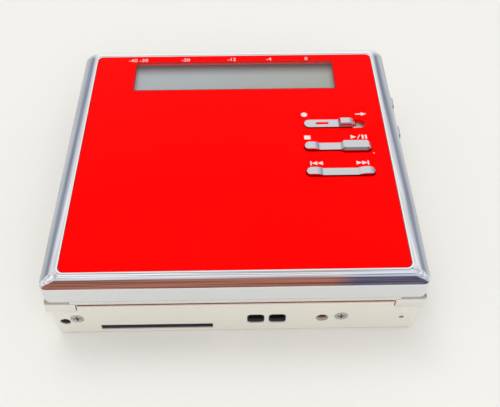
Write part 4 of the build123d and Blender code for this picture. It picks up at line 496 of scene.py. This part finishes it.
def bridge_loops(loops: Sequence[Loop], steps: int) -> bpy.types.Object:
    """Skins a closed ring over a run of loops, the last one bridged back to the first.

    The loops are bridged as a tall tower, where each has only one near neighbour, and are then
    brought down to their own heights.

    Args:
        loops: The loops in order round the section.
        steps: Segments in each corner.

    Returns:
        The ring, closed, with its normals outward.
    """
    groups = [f"loop{number}" for number in range(len(loops))]
    heights = [number * TOWER_STEP for number in range(len(loops))]
    drawn = [loop.draw(group, steps, z) for loop, group, z in zip(loops, groups, heights)]
    deselect()
    for piece in drawn:
        piece.select_set(True)
    ring = drawn[0]
    bpy.context.view_layer.objects.active = ring
    bpy.ops.object.transform_apply(location=True, rotation=True, scale=True)
    bpy.ops.object.join()
    bpy.ops.object.mode_set(mode="EDIT")
    for first, second in zip(groups, groups[1:] + groups[:1]):
        select_groups(first, second)
        bpy.ops.mesh.bridge_edge_loops()
    for loop, group, height in zip(loops, groups, heights):
        select_groups(group)
        bpy.ops.transform.translate(value=(0, 0, loop.z * MM - height))
    bpy.ops.mesh.select_all(action="SELECT")
    bpy.ops.mesh.normals_make_consistent(inside=False)
    bpy.ops.object.mode_set(mode="OBJECT")
    ring.vertex_groups.clear()
    return ring


# ------------------------------------------------------------------ sub-assemblies


@dataclass
class LidTrim:
    """The bright ring round the lid: bevel, fine line, flat ledge and groove round the panel.

    Lengths are in millimetres, and turn is how far the bevel's arc turns, in degrees.
    """

    materials: Materials
    corner_near: float = 1.8
    corner_far: float = 3.4
    width: float = 3.55
    ledge: float = 0.6
    groove: float = 0.16
    line: float = 0.07
    drop: float = 1.1
    lip: float = 0.25
    turn: float = 31.0
    steps: int = 16
    corner_steps: int = 12
    panel_corner: float = 1.4

    def build(self) -> None:
        """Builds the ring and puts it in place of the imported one."""
        low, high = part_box("lid_bezel")
        half_x, half_y = high[0] / MM, high[1] / MM
        foot, top = low[2] / MM + self.lip, high[2] / MM
        loops = [
            Loop(half_x - inset, half_y - inset, z, *self.radii(inset))
            for inset, z in self.section(foot, top)
        ]
        ring = bridge_loops(loops, self.corner_steps)
        bpy.ops.object.shade_smooth_by_angle(angle=GENTLE_ANGLE)
        slot = "polished_metal"
        finish_piece(ring, "bezel_ring", "lid", self.materials.of(FINISHES[slot]))
        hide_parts("lid_bezel")

    def radii(self, inset: float) -> tuple[float, float]:
        """Near and far corner radius at a distance in from the wall."""
        share = min(1.0, inset / self.width)
        near = self.corner_near + (self.panel_corner - self.corner_near) * share
        far = self.corner_far + (self.panel_corner - self.corner_far) * share
        return near, far

    def section(self, foot: float, top: float) -> list[tuple[float, float]]:
        """Section of the ring as distances in from the wall, and heights.

        Args:
            foot: Height of the bevel's foot.
            top: Height of the ledge.

        Returns:
            Points from the outer underside over the top to the inner underside.
        """
        run = self.width - self.ledge
        radius = math.hypot(run, self.drop) / 2 / math.sin(math.radians(self.turn / 2))
        middle = math.atan2(run, self.drop)
        start = middle - math.radians(self.turn / 2)
        points = [(0.0, foot - self.lip), (0.0, foot)]
        for step in range(1, self.steps + 1):
            angle = start + math.radians(self.turn) * step / self.steps
            inset = radius * (math.cos(start) - math.cos(angle))
            points.append((inset, foot + radius * (math.sin(angle) - math.sin(start))))
        points += [(run + self.line, top - self.line), (run + 2 * self.line, top)]
        inner = self.width - self.groove
        points += [(inner, top), (inner, foot - self.lip)]
        return points


class Shape(Enum):
    """A printed shape: the corners of the prism that it is cut from, and the turn that rights it."""

    TRIANGLE = (3, -90.0)
    BAR = (4, 45.0)
    DISC = (40, 0.0)


@dataclass(frozen=True)
class Stroke:
    """One printed shape: its middle is at x, and at rise over the line of its label.

    Lengths are in millimetres, and lean is in degrees.
    """

    shape: Shape
    x: float
    rise: float
    width: float
    height: float
    lean: float = 0.0


@dataclass(frozen=True)
class Label:
    """The shapes printed beside one key, as one piece on a line across the panel at y."""

    name: str
    y: float
    strokes: tuple[Stroke, ...]


LABELS = (
    # A round record sign, and the arrow that shows which way the slider goes.
    Label(
        "record_marks",
        11.1,
        (
            Stroke(Shape.DISC, 17.0, 0.0, 1.5, 1.5),
            Stroke(Shape.BAR, 30.2, 0.0, 1.4, 0.35),
            Stroke(Shape.TRIANGLE, 31.6, 0.0, 1.4, 1.2),
        ),
    ),
    # Stop on the left; play and pause on the right, with the index dot below them.
    Label(
        "play_marks",
        3.2,
        (
            Stroke(Shape.BAR, 17.25, 0.0, 1.5, 1.3),
            Stroke(Shape.TRIANGLE, 28.2, 0.0, 1.3, 1.3),
            Stroke(Shape.BAR, 29.45, 0.0, 0.2, 1.6, -25.0),
            Stroke(Shape.BAR, 30.4, 0.0, 0.45, 1.3),
            Stroke(Shape.BAR, 31.2, 0.0, 0.45, 1.3),
            Stroke(Shape.DISC, 32.4, -5.4, 0.32, 0.32),
        ),
    ),
    # Back on the left and forward on the right: a bar and two triangles each.
    Label(
        "skip_marks",
        -5.2,
        (
            Stroke(Shape.BAR, 17.5, 0.0, 0.3, 1.3),
            Stroke(Shape.TRIANGLE, 18.3, 0.0, 1.25, 1.2, 180.0),
            Stroke(Shape.TRIANGLE, 19.6, 0.0, 1.25, 1.2, 180.0),
            Stroke(Shape.BAR, 30.7, 0.0, 0.3, 1.3),
            Stroke(Shape.TRIANGLE, 29.9, 0.0, 1.25, 1.2),
            Stroke(Shape.TRIANGLE, 28.6, 0.0, 1.25, 1.2),
        ),
    ),
)


@dataclass
class PanelPrint:
    """What is laid on the red panel: printed level numbers and transport symbols, and painted shade round
    the window.

    Lengths are in millimetres.
    """

    materials: Materials
    top: float = 19.2
    film: float = 0.025
    number_size: float = 1.75
    number_y: float = 32.25
    number_steps: int = 4
    numbers: tuple[tuple[str, float], ...] = (
        ("-40 -30", -25.4),
        ("-20", -12.9),
        ("-12", -0.7),
        ("-4", 9.1),
        ("0", 19.0),
    )
    window: tuple[float, float] = (51.7, 11.3)
    window_y: float = 26.3
    window_shade: float = 0.3
    window_corner: float = 0.3
    window_steps: int = 3

    def build(self) -> None:
        """Prints the numbers and symbols, and lays the painted shade round the window."""
        self.print_numbers()
        for label in LABELS:
            self.print_label(label)
        self.paint_window_shade()

    def draw(self, stroke: Stroke, line_y: float) -> bpy.types.Object:
        """Cuts one shape from a thin prism and lays it on the panel.

        Args:
            stroke: The shape to cut.
            line_y: Where its label's line lies.

        Returns:
            The shape as an object.
        """
        corners, upright = stroke.shape.value
        deselect()
        bpy.ops.mesh.primitive_cylinder_add(
            vertices=corners,
            radius=MM,
            depth=self.film * MM,
            rotation=(0, 0, math.radians(upright)),
        )
        bpy.ops.object.transform_apply(rotation=True)
        bpy.ops.object.origin_set(type="ORIGIN_GEOMETRY", center="BOUNDS")
        drawn = bpy.context.object
        drawn.dimensions = (stroke.width * MM, stroke.height * MM, self.film * MM)
        drawn.rotation_euler.z = math.radians(stroke.lean)
        drawn.location = Vector((stroke.x, line_y + stroke.rise, self.top)) * MM
        return drawn

    def print_label(self, label: Label) -> None:
        """Prints a label's shapes as one piece."""
        self.join(label.name, [self.draw(stroke, label.y) for stroke in label.strokes])

    def print_numbers(self) -> None:
        """Prints the level numbers behind the window."""
        drawn = []
        for text, x in self.numbers:
            deselect()
            bpy.ops.object.text_add()
            word = bpy.context.object
            word.data.body = text
            word.data.align_x = "CENTER"
            word.data.size = self.number_size * MM
            word.data.extrude = self.film * MM / 2
            word.data.resolution_u = self.number_steps
            bpy.ops.object.convert(target="MESH")
            bpy.ops.object.mode_set(mode="EDIT")
            bpy.ops.mesh.select_all(action="SELECT")
            bpy.ops.mesh.remove_doubles(threshold=WELD_DISTANCE)
            bpy.ops.mesh.normals_make_consistent(inside=False)
            bpy.ops.object.mode_set(mode="OBJECT")
            word = bpy.context.object
            word.location = Vector((x, self.number_y, self.top)) * MM
            drawn.append(word)
        self.join("level_numbers", drawn)

    def paint_window_shade(self) -> None:
        """Lays the dark red ring round the window: painted shade of the window's recess."""
        half_x, half_y = self.window[0] / 2, self.window[1] / 2
        low, high = self.top - self.film / 2, self.top + self.film / 2
        section = ((0.0, low), (0.0, high), (self.window_shade, high), (self.window_shade, low))
        corner = self.window_corner
        loops = [Loop(half_x - inset, half_y - inset, z, corner, corner) for inset, z in section]
        edge = bridge_loops(loops, self.window_steps)
        edge.location.y = self.window_y * MM
        # Painted shade: the ring's dark red stands for the shade inside the window's edge.
        finish_piece(edge, "window_shade", "lid", self.materials.of(PAINTED_WINDOW_SHADE))

    def join(self, name: str, drawn: Sequence[bpy.types.Object]) -> None:
        """Joins drawn shapes into one piece in the pale ink."""
        deselect()
        for piece in drawn:
            piece.select_set(True)
        bpy.context.view_layer.objects.active = drawn[0]
        bpy.ops.object.transform_apply(location=True, rotation=True, scale=True)
        bpy.ops.object.join()
        finish_piece(bpy.context.object, name, "lid", self.materials.of(INK))


@dataclass(frozen=True)
class Sleeve:
    """A thin dark sleeve in an opening of the hinge-side face: its name, middle, size and corner."""

    name: str
    x: float
    z: float
    width: float
    height: float
    corner: float


@dataclass
class FaceTrim:
    """Sleeves that line the face's openings, grey with painted light, and the bright edge along the top of
    the case, whose warm tone is a painted reflection.

    Lengths are in millimetres, and edge_round is the edge's rounding as a share of its depth.
    """

    materials: Materials
    face_y: float = -37.5
    set_back: float = 0.22
    reach: float = 1.3
    wall: float = 0.1
    gap: float = 0.02
    edge_top: float = 11.5
    edge_height: float = 0.26
    edge_depth: float = 0.14
    edge_half: float = 33.0
    edge_round: float = 0.9
    edge_steps: int = 4
    corner_steps: int = 5
    sleeves: tuple[Sleeve, ...] = (
        Sleeve("slot_sleeve", -17.25, 2.6, 24.2, 1.75, 0.1),
        Sleeve("window_sleeve_left", 4.15, 5.15, 3.7, 3.4, 0.9),
        Sleeve("window_sleeve_right", 8.78, 5.15, 3.7, 3.4, 0.9),
        Sleeve("locating_sleeve", -36.6, 5.2, 2.2, 2.2, 1.05),
    )

    def build(self) -> None:
        """Builds the sleeves and the edge."""
        for sleeve in self.sleeves:
            self.line(sleeve)
        self.edge()

    def line(self, sleeve: Sleeve) -> None:
        """Lines one opening with a tube that lies just behind the face."""
        half_x = sleeve.width / 2 - self.gap
        half_z = sleeve.height / 2 - self.gap
        section = ((0.0, 0.0), (0.0, self.reach), (self.wall, self.reach), (self.wall, 0.0))
        loops = [
            Loop(half_x - inset, half_z - inset, depth, sleeve.corner - inset, sleeve.corner - inset)
            for inset, depth in section
        ]
        tube = bridge_loops(loops, self.corner_steps)
        tube.rotation_euler.x = math.radians(-90)
        tube.location = Vector((sleeve.x, self.face_y + self.set_back, sleeve.z)) * MM
        # Painted light: the sleeves' grey is lighter than black for the light they catch.
        grey = self.materials.of(FINISHES["sleeve_grey"])
        finish_piece(tube, sleeve.name, "base", grey)

    def edge(self) -> None:
        """Lays a thin bright bead along the top edge of the case, between the hinge knuckles; its warm tone
        is a painted reflection.
        """
        deselect()
        bpy.ops.mesh.primitive_cube_add(size=MM)
        bead = bpy.context.object
        bead.dimensions = (2 * self.edge_half * MM, 2 * self.edge_depth * MM, self.edge_height * MM)
        bead.location = Vector((0, self.face_y, self.edge_top - self.edge_height / 2)) * MM
        bpy.ops.object.transform_apply(location=True, scale=True)
        top = (self.edge_top - SELECT_SLACK) * MM
        select_vertices(bead, lambda p: p.z > top and p.y < self.face_y * MM)
        size = self.edge_round * self.edge_depth * MM
        bpy.ops.mesh.bevel(offset=size, segments=self.edge_steps, affect="EDGES")
        bpy.ops.object.mode_set(mode="OBJECT")
        bpy.ops.object.shade_smooth_by_angle(angle=GENTLE_ANGLE)
        # Painted reflection: the bead's warm colour stands for a reflection along the seam.
        warm = self.materials.of(FINISHES["warm_edge"])
        finish_piece(bead, "case_edge", "base", warm)


# What the room looks like to a mirror: colours over Y in front of the object, warm on the left and
# in the middle and cool on the right, and colours over Z towards the back's two sides.
WARM_FRONT = (
    (-1.0, "#C8C6C2"),
    (-0.64, "#A89A96"),
    (-0.54, "#B47A68"),
    (-0.30, "#B0705E"),
    (-0.06, "#A87468"),
    (0.0, "#E6E4E6"),
    (0.16, "#FAFAFC"),
    (0.45, "#F0F0F4"),
)
COOL_FRONT = (
    (-1.0, "#C8C6C2"),
    (-0.64, "#94949C"),
    (-0.54, "#6E6A80"),
    (-0.30, "#625C70"),
    (-0.08, "#6C6C80"),
    (0.0, "#C4CAD8"),
    (0.16, "#E2E8F2"),
    (0.45, "#ECEEF4"),
)
BACK_SIDES = (
    (0.0, "#D2D2D0"),
    (0.14, "#CCCED0"),
    (0.27, "#BDC1C8"),
    (0.36, "#98A1AE"),
    (0.47, "#8E97A6"),
    (0.56, "#C6CAD2"),
    (0.66, "#F4F5F6"),
)

# Where one part of the room gives way to the next, along X, Y and the distance from the middle.
WARM_TO_COOL = (0.14, 0.18)
FRONT_TO_BACK = (0.42, 0.52)
MIDDLE_TO_SIDES = (0.27, 0.42)
MIDDLE_COLOUR = "#FAFAF6"
# Streaks over the room: their stretch along X, Y and Z, their fineness, and the light they leave.
STREAK_STRETCH = (1.2, 7.0, 8.0)
STREAK_SCALE = 2.2
STREAK_DETAIL = 1.0
STREAK_CONTRAST = (0.36, 0.6)
STREAK_LIGHT = (0.42, 1.1)
SIDE_STREAK_LIGHT = (0.6, 1.0)
# Soft light from all round, and what the camera sees behind the floor.
SOFT_COLOUR = "#FFFFFF"
SOFT_STRENGTH = 0.8
BACKDROP_COLOUR = "#F5F5F0"


@dataclass(frozen=True)
class Lamp:
    """A square soft lamp: its name, its place and side in millimetres, and its power in watts."""

    name: str
    place: tuple[float, float, float]
    side: float
    power: float


@dataclass
class Studio:
    """Pale floor, soft light and the camera.

    Angles are in degrees. The camera's place is in millimetres, and what ends in _m is in metres.
    """

    materials: Materials
    lens: float = 48.74
    place: tuple[float, float, float] = (1.9, -111.5, 132.85)
    pitch: float = 39.76
    roll: float = 0.11
    yaw: float = -0.97
    near_clip_m: float = 0.005
    floor_side_m: float = 4.0
    lamps: tuple[Lamp, ...] = (
        Lamp("key_lamp", (-200, 420, 1150), 560, 3.2),
        Lamp("fill_lamp", (240, -800, 850), 900, 4.6),
    )

    def build(self) -> None:
        """Builds floor, world, lamps and camera."""
        self.floor()
        self.world()
        for lamp in self.lamps:
            self.light(lamp)
        self.camera()

    def floor(self) -> None:
        """Adds the tabletop."""
        deselect()
        bpy.ops.mesh.primitive_plane_add(size=self.floor_side_m)
        floor = bpy.context.object
        floor.name = "tabletop"
        floor.data.materials.append(self.materials.of(TABLETOP))

    def light(self, lamp: Lamp) -> None:
        """Adds a lamp that faces the object; its own mirror image is left out."""
        light = bpy.data.lights.new(lamp.name, "AREA")
        light.size = lamp.side * MM
        light.energy = lamp.power
        stand = bpy.data.objects.new(lamp.name, light)
        bpy.context.scene.collection.objects.link(stand)
        stand.location = Vector(lamp.place) * MM
        stand.rotation_euler = (-stand.location).to_track_quat("-Z", "Y").to_euler()
        stand.visible_glossy = False

    def ramp(
        self,
        tree: bpy.types.NodeTree,
        value: bpy.types.NodeSocket,
        stops: Sequence[tuple[float, str]],
    ) -> bpy.types.NodeSocket:
        """Adds a colour ramp over a direction that runs from -1 to 1.

        Args:
            tree: The world's node tree.
            value: One coordinate of the direction.
            stops: Coordinate and sRGB hex colour of each stop.

        Returns:
            The ramp's colour.
        """
        node = add_node(tree, "ShaderNodeValToRGB", {0: map_range(tree, value, (-1.0, 1.0))})
        elements = node.color_ramp.elements
        # New stops start in the middle and are moved to their places below.
        while len(elements) < len(stops):
            elements.new(0.5)
        for element, (place, colour) in zip(elements, stops):
            element.position = (place + 1) / 2
            element.color = linear(colour)
        return node.outputs[0]

    def streaks(
        self,
        tree: bpy.types.NodeTree,
        direction: bpy.types.NodeSocket,
    ) -> bpy.types.NodeSocket:
        """Adds the streaks that break up what bright metal mirrors.

        Args:
            tree: The world's node tree.
            direction: The direction that is looked in.

        Returns:
            The share of the light that is left.
        """
        stretched = add_node(
            tree,
            "ShaderNodeMapping",
            {"Vector": direction, "Scale": STREAK_STRETCH},
        )
        noise = add_node(
            tree,
            "ShaderNodeTexNoise",
            {"Vector": stretched.outputs[0], "Scale": STREAK_SCALE, "Detail": STREAK_DETAIL},
        )
        return map_range(tree, noise.outputs["Fac"], STREAK_CONTRAST, STREAK_LIGHT)

    def room(self, tree: bpy.types.NodeTree) -> bpy.types.NodeSocket:
        """Adds the room that bright metal mirrors: warm and cool in front, white and grey behind."""
        direction = add_node(tree, "ShaderNodeTexCoord").outputs["Generated"]
        along = add_node(tree, "ShaderNodeSeparateXYZ", {0: direction}).outputs
        streaks = self.streaks(tree, direction)
        warm = self.ramp(tree, along["Y"], WARM_FRONT)
        cool = self.ramp(tree, along["Y"], COOL_FRONT)
        front = mix_colours(tree, map_range(tree, along["X"], WARM_TO_COOL), warm, cool)
        front = mix_colours(tree, 1.0, front, streaks, "MULTIPLY")
        faint = map_range(tree, streaks, target=SIDE_STREAK_LIGHT)
        sides = mix_colours(tree, 1.0, self.ramp(tree, along["Z"], BACK_SIDES), faint, "MULTIPLY")
        aside = add_node(tree, "ShaderNodeMath", {0: along["X"]}, operation="ABSOLUTE")
        beside = map_range(tree, aside.outputs[0], MIDDLE_TO_SIDES)
        back = mix_colours(tree, beside, linear(MIDDLE_COLOUR), sides)
        return mix_colours(tree, map_range(tree, along["Y"], FRONT_TO_BACK), front, back)

    def world(self) -> None:
        """Sets a plain bright surround, with the room's darker and brighter sides in its gloss."""
        world = bpy.data.worlds.new("studio")
        bpy.context.scene.world = world
        world.use_nodes = True
        tree = world.node_tree
        tree.nodes.clear()
        ray = add_node(tree, "ShaderNodeLightPath")
        soft = add_node(
            tree,
            "ShaderNodeBackground",
            {"Color": linear(SOFT_COLOUR), "Strength": SOFT_STRENGTH},
        )
        shiny = add_node(tree, "ShaderNodeBackground", {"Color": self.room(tree)})
        seen = add_node(tree, "ShaderNodeBackground", {"Color": linear(BACKDROP_COLOUR)})
        gloss = add_node(
            tree,
            "ShaderNodeMixShader",
            {0: ray.outputs["Is Glossy Ray"], 1: soft.outputs[0], 2: shiny.outputs[0]},
        )
        final = add_node(
            tree,
            "ShaderNodeMixShader",
            {0: ray.outputs["Is Camera Ray"], 1: gloss.outputs[0], 2: seen.outputs[0]},
        )
        add_node(tree, "ShaderNodeOutputWorld", {"Surface": final.outputs[0]})

    def camera(self) -> None:
        """Adds the camera that the picture is taken with."""
        lens = bpy.data.cameras.new("camera")
        lens.lens = self.lens
        lens.clip_start = self.near_clip_m
        camera = bpy.data.objects.new("camera", lens)
        bpy.context.scene.collection.objects.link(camera)
        camera.location = Vector(self.place) * MM
        angles = (self.pitch, self.roll, self.yaw)
        camera.rotation_euler = [math.radians(angle) for angle in angles]
        bpy.context.scene.camera = camera


def main() -> None:
    """Builds the pieces in order."""
    logging.basicConfig(level=logging.INFO, format="%(name)s: %(message)s")
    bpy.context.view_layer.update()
    materials = Materials()
    materials.dress_nodes()
    LidTrim(materials).build()
    PanelPrint(materials).build()
    FaceTrim(materials).build()
    Studio(materials).build()
    bpy.context.scene.view_settings.view_transform = "Standard"


if __name__ == "__main__":
    main()
